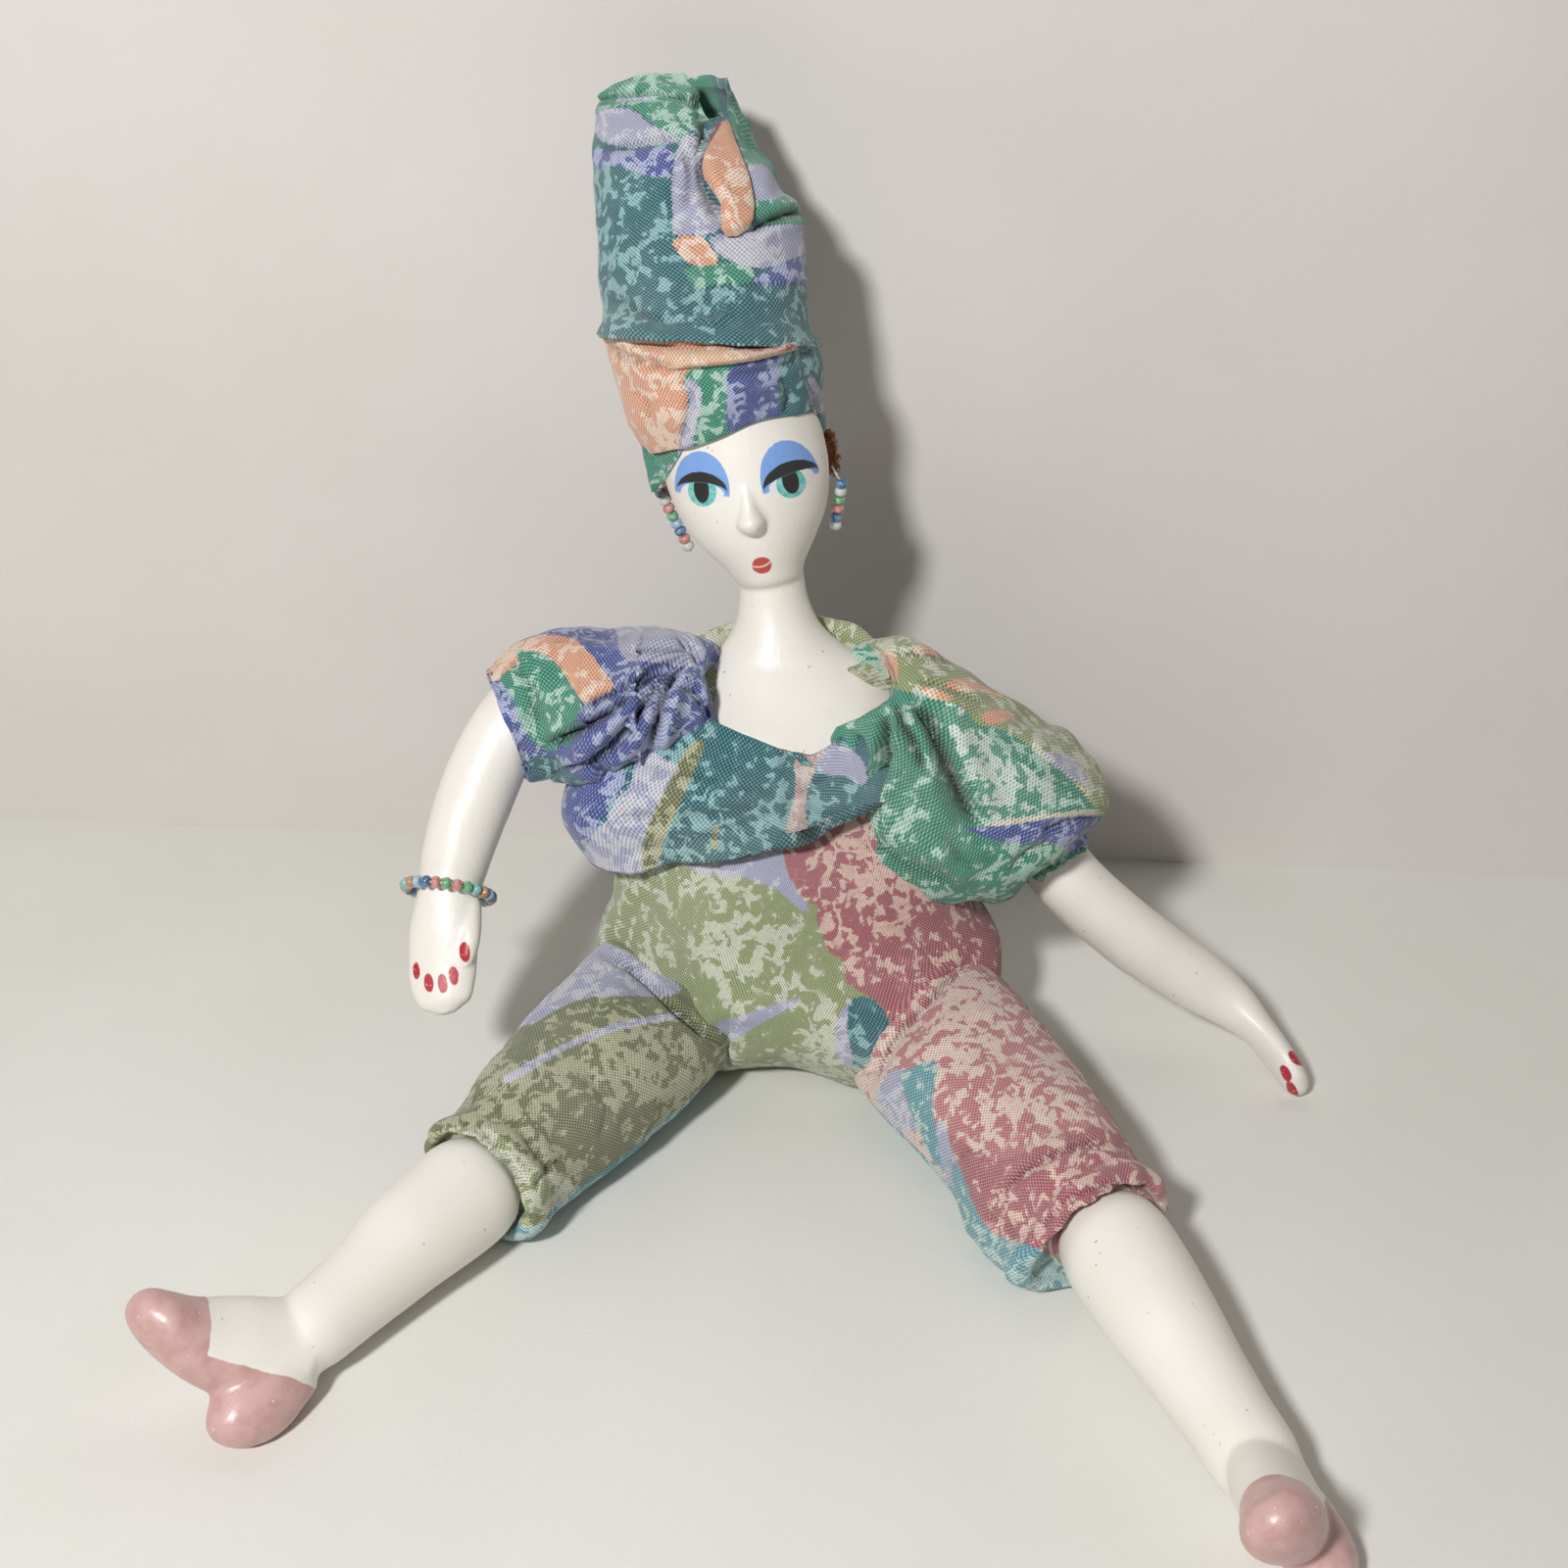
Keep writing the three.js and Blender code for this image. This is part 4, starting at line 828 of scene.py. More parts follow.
# Outlines of the printed areas, as the picture shows them
TORSO_AREAS = [
    ("lavender", [
        (690, 882), (730, 868), (795, 850), (800, 878), (812, 902), (828, 932), (812, 926), (796, 908),
        (776, 902), (756, 894), (728, 894),
    ]),
    ("rose", [
        (797, 830), (800, 878), (809, 900), (821, 917), (835, 924), (829, 938), (838, 952), (846, 972),
        (866, 978), (862, 1000), (882, 1012), (902, 1026), (914, 1054), (904, 1080), (960, 1090),
        (1060, 1000), (1060, 900), (960, 840), (880, 810),
    ]),
    ("lavender", [
        (852, 1046), (862, 1026), (872, 1016), (880, 1040), (878, 1092), (860, 1090), (850, 1070),
    ]),
    ("teal", [
        (866, 1022), (880, 1014), (893, 1018), (906, 1034), (913, 1055), (900, 1072), (886, 1088),
        (872, 1092), (868, 1074), (864, 1050),
    ]),
    ("lavender", [
        (722, 1048), (760, 1034), (792, 1024), (818, 1018), (812, 1028), (790, 1036), (770, 1048),
        (752, 1062), (734, 1062),
    ]),
]
THIGH_AREAS = {
    "right": [
        ("lavender", [
            (560, 960), (620, 962), (660, 980), (700, 1012), (680, 1017), (650, 1014), (610, 1016),
            (582, 1024), (560, 1032), (540, 1044), (520, 1040), (530, 1000),
        ]),
        ("lavender", [
            (696, 1032), (650, 1037), (610, 1052), (578, 1066), (545, 1080), (512, 1100), (516, 1108),
            (545, 1090), (575, 1074), (604, 1062), (634, 1050), (662, 1043), (696, 1040),
        ]),
        ("sage", [
            (440, 1150), (490, 1150), (530, 1170), (556, 1196), (590, 1210), (566, 1240), (520, 1232),
            (490, 1190),
        ]),
    ],
    "left": [
        ("rose", [
            (950, 1150), (985, 1165), (1010, 1185), (1040, 1180), (1090, 1150), (1140, 1150),
            (1180, 1200), (1190, 1270), (1120, 1280), (1040, 1290), (1000, 1250), (970, 1200),
        ]),
        ("lavender", [
            (893, 1116), (906, 1094), (920, 1088), (920, 1110), (928, 1130), (940, 1158), (924, 1160),
            (904, 1134),
        ]),
        ("aqua", [
            (916, 1094), (930, 1088), (946, 1082), (958, 1083), (956, 1106), (952, 1130), (956, 1158),
            (962, 1180), (972, 1194), (960, 1196), (946, 1176), (934, 1150), (924, 1124),
        ]),
        ("lavender", [
            (955, 1143), (966, 1148), (969, 1172), (977, 1196), (988, 1218), (996, 1240), (984, 1238),
            (970, 1210), (958, 1184),
        ]),
        ("aqua", [
            (966, 1188), (974, 1184), (984, 1208), (996, 1232), (1012, 1256), (1038, 1268), (1064, 1276),
            (1080, 1292), (1066, 1316), (1030, 1322), (1000, 1300), (984, 1250),
        ]),
    ],
}
CHEST_AREAS = [
    ("lavender", [
        (600, 900), (596, 866), (606, 848), (620, 834), (630, 816), (646, 802), (648, 780), (662, 762),
        (680, 776), (696, 776), (676, 830), (652, 886), (652, 900),
    ]),
    ("blue", [
        (560, 780), (640, 786), (640, 800), (628, 816), (614, 832), (604, 850), (594, 868), (570, 870),
    ]),
    ("olive", [
        (704, 755), (724, 748), (713, 778), (702, 802), (690, 832), (676, 862), (668, 890), (650, 890),
        (656, 860), (668, 830), (682, 800), (692, 778),
    ]),
    ("lavender", [
        (824, 758), (848, 758), (872, 768), (886, 790), (876, 806), (860, 792), (846, 794), (830, 790),
    ]),
    ("shell", [
        (811, 770), (826, 756), (836, 770), (829, 790), (822, 802), (819, 822), (827, 856), (800, 858),
        (805, 830), (811, 802), (807, 786),
    ]),
    ("peach", [(782, 742), (800, 750), (816, 764), (802, 770), (786, 758)]),
    ("olive", [(728, 840), (734, 842), (732, 866), (722, 868)]),
]
SLEEVE_AREAS = {
    "right": [
        ("lavender", [
            (628, 634), (660, 634), (706, 640), (724, 668), (706, 682), (690, 680), (664, 672),
            (646, 674), (636, 668), (630, 656),
        ]),
        ("peach", [
            (498, 700), (504, 662), (528, 646), (562, 648), (588, 654), (602, 668), (614, 682),
            (627, 697), (626, 706), (612, 713), (600, 722), (588, 706), (574, 688), (560, 672),
            (536, 664), (524, 690),
        ]),
        ("sea", [
            (522, 658), (542, 664), (558, 669), (572, 684), (586, 702), (601, 722), (590, 734),
            (578, 748), (572, 764), (550, 766), (530, 740), (520, 706), (508, 692), (524, 681),
            (533, 672),
        ]),
        ("teal", [(530, 776), (566, 768), (580, 788), (606, 800), (590, 815), (550, 812)]),
        ("sea", [(570, 748), (590, 736), (596, 742), (584, 752), (580, 764), (572, 762)]),
    ],
    "left": [
        ("sage", [
            (840, 630), (906, 630), (990, 664), (1050, 704), (1110, 756), (1140, 830), (1122, 830),
            (1100, 803), (1078, 782), (1048, 757), (1018, 741), (998, 738), (970, 723), (944, 710),
            (916, 706), (905, 690), (880, 650),
        ]),
        ("peach", [(900, 662), (914, 667), (921, 682), (919, 698), (908, 694), (900, 676)]),
        ("peach", [(926, 662), (950, 657), (968, 664), (972, 672), (950, 671)]),
        ("peach", [(940, 700), (958, 706), (975, 713), (962, 718), (944, 712)]),
        ("peach", [(958, 700), (984, 694), (1008, 700), (1030, 712), (996, 706), (972, 708)]),
        ("peach", [(999, 725), (1026, 722), (1038, 731), (1016, 738), (1002, 734)]),
        ("lavender", [(1062, 764), (1086, 768), (1104, 784), (1114, 806), (1096, 797), (1080, 784)]),
        ("mint", [
            (956, 716), (984, 722), (1000, 742), (1030, 770), (1060, 790), (1086, 804), (1092, 818),
            (1080, 830), (1050, 834), (1012, 840), (1002, 820), (988, 790), (968, 750),
        ]),
        ("cream", [(1000, 838), (1060, 832), (1128, 824), (1128, 832), (1062, 839), (1000, 845)]),
        ("blue", [
            (980, 846), (1010, 843), (1062, 838), (1130, 830), (1128, 846), (1112, 864), (1094, 868),
            (1074, 862), (1050, 862), (1026, 860), (1004, 856),
        ]),
        ("lavender", [(838, 762), (872, 764), (888, 776), (880, 792), (860, 786), (840, 780)]),
    ],
}
CROWN_AREAS = [
    ("sea", [
        (606, 90), (640, 80), (680, 70), (722, 66), (730, 96), (736, 112), (730, 124), (712, 129),
        (700, 139), (680, 138), (664, 130), (654, 116), (640, 110), (606, 110),
    ]),
    ("lavender", [
        (604, 112), (636, 110), (652, 118), (664, 130), (686, 138), (694, 146), (660, 148), (640, 151),
        (604, 142),
    ]),
    ("blue", [
        (600, 150), (640, 153), (676, 148), (690, 158), (688, 177), (664, 181), (650, 172), (630, 168),
        (600, 168),
    ]),
    ("lavender", [
        (687, 164), (692, 142), (702, 138), (712, 150), (714, 168), (718, 186), (724, 202), (738, 214),
        (736, 240), (700, 242), (686, 242), (686, 214), (684, 190),
    ]),
    ("plum", [(712, 172), (718, 148), (732, 124), (744, 122), (738, 146), (726, 164), (718, 180)]),
    ("sea", [
        (744, 122), (752, 96), (784, 120), (800, 165), (812, 190), (840, 215), (840, 234), (800, 228),
        (768, 228), (768, 205), (764, 180), (754, 150),
    ]),
    ("lavender", [(758, 168), (776, 164), (792, 180), (804, 196), (786, 206), (770, 206), (764, 190)]),
    ("lavender", [
        (720, 242), (760, 238), (800, 228), (840, 230), (840, 256), (806, 264), (786, 273), (760, 271),
        (740, 263), (728, 254),
    ]),
    ("sea", [
        (698, 274), (735, 266), (772, 272), (764, 290), (740, 291), (726, 292), (712, 299), (704, 286),
    ]),
    ("blue", [(762, 290), (776, 276), (800, 268), (840, 254), (840, 288), (800, 291)]),
    ("peach", [
        (685, 246), (700, 241), (718, 243), (728, 256), (736, 268), (722, 273), (705, 271), (694, 258),
    ]),
]
BAND_AREAS = [
    ("peach", [
        (590, 325), (806, 325), (806, 350), (780, 362), (742, 368), (702, 376), (694, 388), (702, 402),
        (700, 426), (691, 470), (640, 470), (600, 400),
    ]),
    ("rose", [(742, 342), (765, 340), (806, 350), (786, 359), (765, 355), (748, 359)]),
    ("lavender", [
        (694, 388), (708, 384), (717, 400), (713, 430), (707, 470), (691, 470), (700, 426), (703, 404),
    ]),
    ("blue", [
        (741, 372), (790, 354), (801, 370), (795, 400), (802, 428), (790, 436), (742, 452), (742, 400),
    ]),
    ("teal", [(794, 352), (860, 335), (860, 450), (802, 434), (797, 400)]),
    ("lavender", [(822, 384), (836, 388), (846, 420), (832, 424), (826, 404)]),
]


# Body of cloth and seeds
def trunk_at(z):
    """The middle of the trunk at a height: it leans back and a little to one side."""
    return z * math.tan(TRUNK_TILT), z * math.tan(TRUNK_LEAN), z


def hip_place(side):
    """A hip's frame: X out from the crease, Y up from it, Z along it."""
    turn = math.radians(HIPS[side]["crease"])
    out = np.array([math.sin(turn), -math.cos(turn), 0])
    rise = (-1 if side == "right" else 1) * math.sin(math.radians(10))
    crease = unit((math.cos(turn), math.sin(turn), rise))
    up = unit(np.cross(out, crease))
    return basis(out, up, np.cross(out, up), HIPS[side]["at"])


CREASES = {
    "right": [(606, 970), (640, 986), (662, 1004), (688, 1030), (718, 1055), (748, 1072)],
    "left": [(992, 984), (965, 1003), (945, 1025), (925, 1046), (908, 1068)],
}
CREASE_PULLS = [
    ((672, 984), (662, 1008), 36), ((728, 1022), (712, 1042), 34), ((920, 1020), (928, 1044), 34),
    ((880, 1056), (893, 1084), 32), ((970, 994), (974, 1002), 30),
]


def torso_piece():
    def row(share, half_width, half_depth, back=0, aside=0):
        x, y, z = trunk_at(share * TRUNK_HEIGHT)
        return (x + aside, y + back, z, half_width, half_depth)

    keys = [
        row(0, 38, 21, 4), row(0.05, 45, 25.5, 3.5), row(0.14, 50.5, 31.5, 1.5, 1.5),
        row(0.28, 50.5, 33, 0, 1.5), row(0.43, 44, 28), row(0.57, 43, 28), row(0.71, 43, 25),
        row(0.84, 40, 19.5), row(0.93, 36, 13), row(1, 22, 8),
    ]

    def side(share):
        turn = math.radians(-9) * max(0, 1 - 2 * share)
        return (math.cos(turn), math.sin(turn), 0)

    grid = loft(keys, 50, 84, side=side, level=(0, 0, 1), square=2.3)
    cutters = [
        box_object("crease_" + s, hip_place(s), (0.6, -80, -24.8), (120, 80, 24.8)) for s in SIDES
    ]
    obj = merged("torso_cloth", [grid], 1.15, 9, cutters)
    points, normals = read(obj)
    seam = (points - (0, SEAM_BACK, 0)) @ SEAM_FACE
    points = points - normals * (0.55 * np.exp(-((seam / 0.9) ** 2)))[:, None]
    points = uneven(points, normals, 21, 1.0, 1.0)
    points = uneven(points, normals, 6, 0.3, 5.0)
    points = reshaped(points, [((800, 1106), (800, 1083), 62)] + CREASE_PULLS)
    folds = [
        (CREASES["right"], 8, 2.0), (CREASES["left"], 9, 2.0),
        ([(908, 1062), (898, 1086), (886, 1106)], 8, 1.6),
        ([(700, 1060), (740, 1045), (780, 1050)], 9, 0.35),
        ([(880, 1100), (868, 1060), (872, 1020)], 9, 0.3),
    ]
    points = folded(points, normals, folds)
    points[:, 2] = np.maximum(points[:, 2], SEAT_CLEAR)
    write(obj, points)
    lay_on(obj, points)
    wrap_threads(obj, basis((1, 0, 0), (0, 1, 0), (0, 0, 1), (0, 5, 0)), 40)
    areas = TORSO_AREAS + [("teal", lambda p: (p - (0, SEAM_BACK, 0)) @ -SEAM_FACE)]
    draw_print(obj, areas, folds)
    finished(obj, cloth("torso_print", "sage", areas), "trunk")
    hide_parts("torso_front", "torso_back", "torso_seeds")
    return obj


def thigh_frame(side):
    turn = math.radians(HIPS[side]["turn"])
    out = np.array([math.sin(turn), -math.cos(turn), 0])
    across = np.array([-out[1], out[0], 0])
    at = np.array(HIPS[side]["at"]) * (1, 1, 0) + (0, 0, HEM_HEIGHT)
    return basis(across, np.cross(out, across), out, at)


def thigh_piece(side):
    place = thigh_frame(side)
    length = HIPS[side]["length"]
    across, out = place[:3, 0], place[:3, 2]

    def row(along, height, half_width, half_height):
        at = place[:3, 3] * (1, 1, 0) + out * along + (0, 0, height)
        return (*at, half_width, half_height)

    keys = [
        row(-12, 18.5, 22.5, 17), row(0.15 * length, 17.5, 22.5, 18), row(0.4 * length, 16.5, 21, 17),
        row(0.7 * length, 15.9, 18.5, 16.4), row(length - 7.5, 15.1, 15.8, 15.3),
        row(length - 3.2, 15.1, 16.2, 15.4), row(length - 0.8, 15.1, 15.2, 14.6),
        row(length, 15.1, 13.8, 13.6), row(length - 0.9, 15.1, 12.9, 12.9), row(length - 4, 15.1, 12.7, 12.7),
    ]
    grid = loft(keys, 90, 96, side=across, level=out, square=2.2)
    behind = box_object("behind_" + side, hip_place(side), (-90, -90, -90), (-1.4, 90, 90))
    obj = merged("thigh_cloth_" + side, [grid], 0.85, 5, [behind])
    points, normals = read(obj)
    flat = local(place, points)
    angle = np.arctan2(flat[:, 1], flat[:, 0])
    from_mouth = length - flat[:, 2]
    points = gathered(points, normals, from_mouth, angle, 15, 1.1, 9, seed=4 if side == "right" else 9)
    ring = -0.7 * np.exp(-(((from_mouth - 6.5) / 1.6) ** 2)) * (0.6 + 0.4 * np.sin(5 * angle + 1))
    points = points + normals * ring[:, None]
    points = uneven(points, normals, 17, 1.1, 7.0 if side == "right" else 11.0)
    points = uneven(points, normals, 5, 0.28, 2.0)
    inner = points @ (0, 0, 1.0) - 9.5
    toward = flat[:, 0] * (1 if side == "right" else -1)
    groove = 0.5 * np.exp(-((inner / 0.8) ** 2)) * smooth(np.abs(toward) / 6 - 1) * smooth(from_mouth / 3)
    points = points - normals * groove[:, None]
    lines = {
        "right": [
            (CREASES["right"], 8, 1.6),
            ([(466, 1140), (496, 1160), (520, 1190), (540, 1222)], 8, 1.0),
            ([(470, 1130), (500, 1112), (530, 1104)], 9, 0.7),
            ([(500, 1120), (530, 1150), (560, 1195)], 9, 0.6),
            ([(545, 1215), (560, 1190), (585, 1180)], 7, 0.7),
            ([(598, 1090), (620, 1130), (612, 1170)], 10, 0.4),
        ],
        "left": [
            (CREASES["left"] + [(890, 1104)], 9, 1.6),
            ([(1016, 1222), (1045, 1197), (1075, 1178), (1110, 1166), (1152, 1172)], 10, 1.2),
            ([(1056, 1262), (1086, 1226), (1130, 1208), (1164, 1216)], 7, 0.9),
            ([(960, 1190), (990, 1175), (1020, 1180)], 8, 0.5),
            ([(1000, 1236), (1030, 1252), (1050, 1280)], 8, 0.6),
        ],
    }
    pulls = list(CREASE_PULLS)
    if side == "left":
        pulls += [
            ((1009, 1252), (990, 1264), 34), ((1048, 1290), (1014, 1298), 34),
            ((1091, 1315), (1060, 1312), 26),
        ]
    points = reshaped(points, pulls)
    points = folded(points, normals, lines[side])
    points[:, 2] = np.maximum(points[:, 2], SEAT_CLEAR)
    write(obj, points)
    lay_on(obj, points)
    wrap_threads(obj, place, 18)
    areas = THIGH_AREAS[side] + [("aqua", lambda p: 9.5 - p[:, 2])]
    draw_print(obj, areas, lines[side])
    ground = "olive" if side == "right" else "blush"
    finished(obj, cloth(f"{side}_thigh_print", ground, areas))
    at, out_of_crease = np.array(HIPS[side]["at"]), hip_place(side)[:3, 0]
    ends = [tuple((at + out_of_crease * d) * MM) for d in (-1.0, 17)]
    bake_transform(obj, "trunk", "thigh_" + side, start=ends[0], end=ends[1])
    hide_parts("thigh_casing_" + side, "thigh_seeds_" + side, "knee_hem_" + side)
    return obj


# Lower legs
def knee_frame(side):
    turn, dip, roll, _ = KNEES[side]
    hip = np.array(HIPS[side]["at"]) * (1, 1, 0)
    at = hip + thigh_frame(side)[:3, 2] * HIPS[side]["length"] + (0, 0, HEM_HEIGHT)
    t, d, r = math.radians(turn), math.radians(dip), math.radians(roll)
    along = (math.sin(t), -math.cos(t), -math.tan(d))
    outward = np.array([math.cos(t), math.sin(t), 0]) * (-1 if side == "right" else 1)
    return at, along, np.array([0, 0, math.cos(r)]) + outward * math.sin(r)


def leg_piece(side, paint):
    place = LEG_PLACES[side]
    stub = -KNEES[side][3]
    shown = LEG_LENGTH + stub

    def round_row(along, radius, back=0):
        return (0, back, along, radius, radius)

    leg_keys = [
        round_row(stub, 3), round_row(stub + 1.5, 8.5), round_row(stub + 4, 10), round_row(-5, 9),
        round_row(-1.5, 11.4), round_row(0.1 * shown, 12.4), round_row(0.4 * shown, 11.6),
        round_row(0.65 * shown, 10.1, 0.8), round_row(0.88 * shown, 9.1, 1), round_row(shown + 2, 8.8, 1.2),
        round_row(shown + 10, 6.8, 2.5),
    ]
    c, n = math.cos(FOOT_POINT), math.sin(FOOT_POINT)

    def at(forward, down):
        return (0, down * c - forward * n, shown + forward * c + down * n)

    steps = (
        (-0.02, 6, 4, 4), (0.06, 6.5, 7.4, 8.5), (0.2, 7, 7.4, 10.6), (0.36, 7, 7.4, 10.4),
        (0.52, 6.5, 7.2, 9.4), (0.67, 5.5, 7.5, 8.1), (0.8, 3.6, 7.9, 6.8), (0.9, 1.9, 6.4, 5.4),
        (0.97, 1.1, 3.9, 3.2), (1, 1, 1.4, 1.2),
    )
    foot_keys = [(*at(share * FOOT_LENGTH, down), wide, high) for share, down, wide, high in steps]
    drops = (
        (0.2, 8, 5.9, 8), (0.55, 9.4, 7.2, 10.4), (0.7, 11, 7, 9.4), (0.82, 12.3, 6.4, 8.4),
        (0.94, 13.5, 4.8, 5.8), (1, 14, 2, 2.4),
    )
    heel_keys = [(*at(forward, share * HEEL_LENGTH), wide, long) for share, forward, wide, long in drops]
    grids = [
        loft(leg_keys, 60, 56),
        loft(foot_keys, 40, 40, level=(0, -n, c)),
        loft(heel_keys, 30, 40, level=(0, c, n)),
    ]
    obj = merged("painted_leg_" + side, [moved(place, g) for g in grids], 0.7, 6)
    points, normals = read(obj)
    points = uneven(points, normals, 12, 0.25, 8.0)
    points[:, 2] = np.maximum(points[:, 2], LIMB_CLEAR)
    write(obj, points)
    lay_on(obj, local(place, points) - (0, 0, shown))
    finished(obj, paint, "lower_leg_" + side)
    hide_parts("lower_leg_" + side)
    return obj


# Arms
ARM_KEYS = {
    "right": [
        (-50.5, 20, 95.5, 5.5, 5.5), (-53, 19.4, 95, 8.2, 8.2), (-66, 14.5, 89, 9, 9), (-76.5, 3.5, 73, 9, 9),
        (-81, -6, 60.5, 8.1, 7.9), (-82.4, -11, 55, 7.4, 6.7), (-83, -18, 48.5, 8.2, 5),
        (-83, -24, 41.5, 8.2, 3.7), (-82, -29, 36, 6.4, 3), (-81.5, -31, 34, 2, 1.5),
    ],
    "left": [
        (58.5, 18, 54.5, 5.5, 5.5), (60, 17.2, 52.5, 7.9, 7.9), (70, 11.5, 41.5, 8.6, 8.6),
        (84, 6.5, 30.5, 8.5, 8.5), (98, 3, 21.5, 8, 8), (108.5, -0.5, 15.3, 7, 6.4),
        (116, -6.5, 10, 7.6, 4.1),
        (120.6, -13.5, 6.2, 8.2, 3.5), (123.3, -19, 3.6, 6.2, 2.9), (124.2, -21, 2.6, 2, 1.5),
    ],
}
HAND_SIDE = {"right": (1, -0.1, 0.1), "left": (0, -0.8, 0.6)}


def arm_piece(side, material):
    grids = [loft(ARM_KEYS[side], 70, 52, side=HAND_SIDE[side], square=2.05)]
    if side == "right":
        thumb = [
            (-77.6, -12, 56.5, 1, 1), (-76.6, -15, 53.5, 2.4, 2.4), (-76.4, -20.5, 49.5, 2.5, 2.4),
            (-76.8, -24.5, 45.8, 1.9, 1.8), (-77.2, -26.3, 44, 0.6, 0.6),
        ]
        grids.append(loft(thumb, 20, 20))
    obj = merged("painted_arm_" + side, grids, 0.6, 4)
    points, normals = read(obj)
    points = uneven(points, normals, 9, 0.22, 6.0)
    points[:, 2] = np.maximum(points[:, 2], LIMB_CLEAR)
    write(obj, points)
    lay_on(obj, points)
    finished(obj, material, "arm_" + side)
    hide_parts("arm_" + side)
    return obj


def arm_cloth_piece(side, material):
    keys = {
        "right": [
            (-46.8, 21.2, 96.2, 6, 6), (-47.4, 21, 96.1, 10, 10), (-53, 19.4, 95, 10.4, 10.4),
            (-59.5, 17, 92.4, 10.2, 10.2), (-61, 16.4, 91.6, 9.3, 9.3),
        ],
        "left": [
            (48, 20.3, 73, 6, 6), (48.9, 20.1, 71.6, 9.8, 9.8), (53, 19.1, 64.2, 10.4, 10.4),
            (60, 17.2, 52.8, 10.2, 10.2), (61.6, 16.4, 51, 9.5, 9.5),
        ],
    }[side]
    grid = loft(keys, 26, 40, side=HAND_SIDE[side])
    obj = woven_grid("arm_cloth_piece_" + side, grid, ends=(True, False))
    finished(obj, material, "arm_" + side)
    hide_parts("arm_cloth_" + side)
    return obj


# Costume
SLEEVES = {
    "right": {
        "keys": [
            (-15, 14.4, 91.5, 4, 5), (-17, 14, 92.3, 8, 10), (-18.5, 14.2, 92.6, 10, 12.6),
            (-21, 14.6, 93, 12, 15), (-27, 16, 93.5, 13.8, 19), (-36, 18, 92.5, 15.5, 22),
            (-50, 18, 92, 16, 21), (-60, 16.5, 92.5, 14.5, 17), (-67.2, 13.8, 90.3, 12, 12.4),
            (-68.6, 13.3, 89.8, 11.3, 11.6), (-67.6, 13.6, 90.2, 10.6, 10.9), (-64, 14.8, 91.5, 10.4, 10.7),
        ],
        "side": (0, 0, 1), "ends": ((-40, 18.5, 92.5), (-56, 17.5, 92)), "gathers": 17, "seam": 140,
    },
    "left": {
        "keys": [
            (5, 13, 95, 5, 6), (7, 13, 94.6, 8.4, 8.2), (9, 13, 94, 10, 12), (20, 14.5, 89, 20, 20.5),
            (36, 15, 77, 26.5, 26), (53, 14.5, 64, 25, 24), (64, 13, 51, 17, 17),
            (68.4, 11.7, 44.8, 11.4, 11.4), (69.4, 11.4, 43.2, 10.7, 10.7), (68.6, 11.7, 44.6, 10, 10),
            (66, 12.4, 47.6, 9.9, 9.9),
        ],
        "side": (0.75, 0, 0.66), "ends": ((37, 15, 77), (55, 14.5, 62)), "gathers": 19, "seam": 220,
    },
}
SLEEVE_FOLDS = {
    "right": [
        ([(590, 724), (640, 701), (676, 682), (702, 670)], 10, 2.2),
        ([(556, 764), (600, 741), (636, 717), (664, 692), (684, 676)], 11, 2.8),
        ([(590, 788), (622, 766), (648, 734), (668, 702), (688, 682)], 12, 3.2),
        ([(662, 766), (671, 736), (678, 706), (690, 686), (708, 676)], 11, 3.4),
        ([(686, 700), (708, 706), (720, 722), (728, 738)], 9, 1.6),
        ([(640, 664), (670, 664), (696, 662), (714, 664)], 9, 1.3),
        ([(690, 650), (706, 662), (716, 680)], 7, 1.2),
        ([(572, 786), (600, 782), (630, 786)], 8, 1.4),
        ([(560, 655), (600, 648), (650, 652)], 14, 0.6),
        ([(518, 668), (540, 700), (552, 745)], 12, 0.8),
    ],
    "left": [
        ([(930, 712), (950, 740), (964, 778), (980, 815), (1000, 850)], 20, 4.2),
        ([(914, 714), (920, 738), (934, 758), (944, 792)], 11, 2.6),
        ([(900, 724), (906, 744), (905, 768), (900, 790), (888, 812), (872, 826)], 11, 3.8),
        ([(874, 748), (886, 772), (880, 800), (866, 814)], 9, 2.6),
        ([(846, 768), (860, 780), (872, 798)], 8, 1.8),
        ([(900, 666), (940, 668), (984, 679)], 6, 1.2),
        ([(936, 696), (962, 702), (1006, 720)], 6, 1.4),
        ([(880, 850), (920, 880), (980, 905)], 18, 1.2),
        ([(1060, 852), (1088, 840), (1122, 834)], 11, 1.2),
        ([(1030, 890), (1050, 870), (1080, 856)], 11, 1.2),
        ([(960, 850), (980, 876), (1000, 890)], 12, 1.0),
    ],
}
SLEEVE_PULLS = {
    "right": [((548, 770), (548, 794), 34), ((600, 778), (598, 792), 26)],
    "left": [
        ((1078, 938), (1056, 898), 32), ((1112, 922), (1082, 882), 30), ((1136, 880), (1110, 858), 32),
        ((956, 880), (952, 914), 42),
        ((905, 848), (892, 882), 30), ((1010, 905), (1005, 915), 34), ((1024, 675), (1024, 706), 34),
        ((1061, 702), (1061, 731), 34), ((975, 657), (975, 672), 30), ((1100, 750), (1098, 768), 30),
        ((1010, 800), (1010, 800), 60),
    ],
}
SLEEVE_LAPS = {
    "right": [([(598, 722), (640, 702), (676, 683), (702, 672)], 26, 0.9)],
    "left": [([(912, 704), (960, 716), (1000, 738), (1050, 759), (1100, 803), (1126, 834)], 30, 1.3)],
}
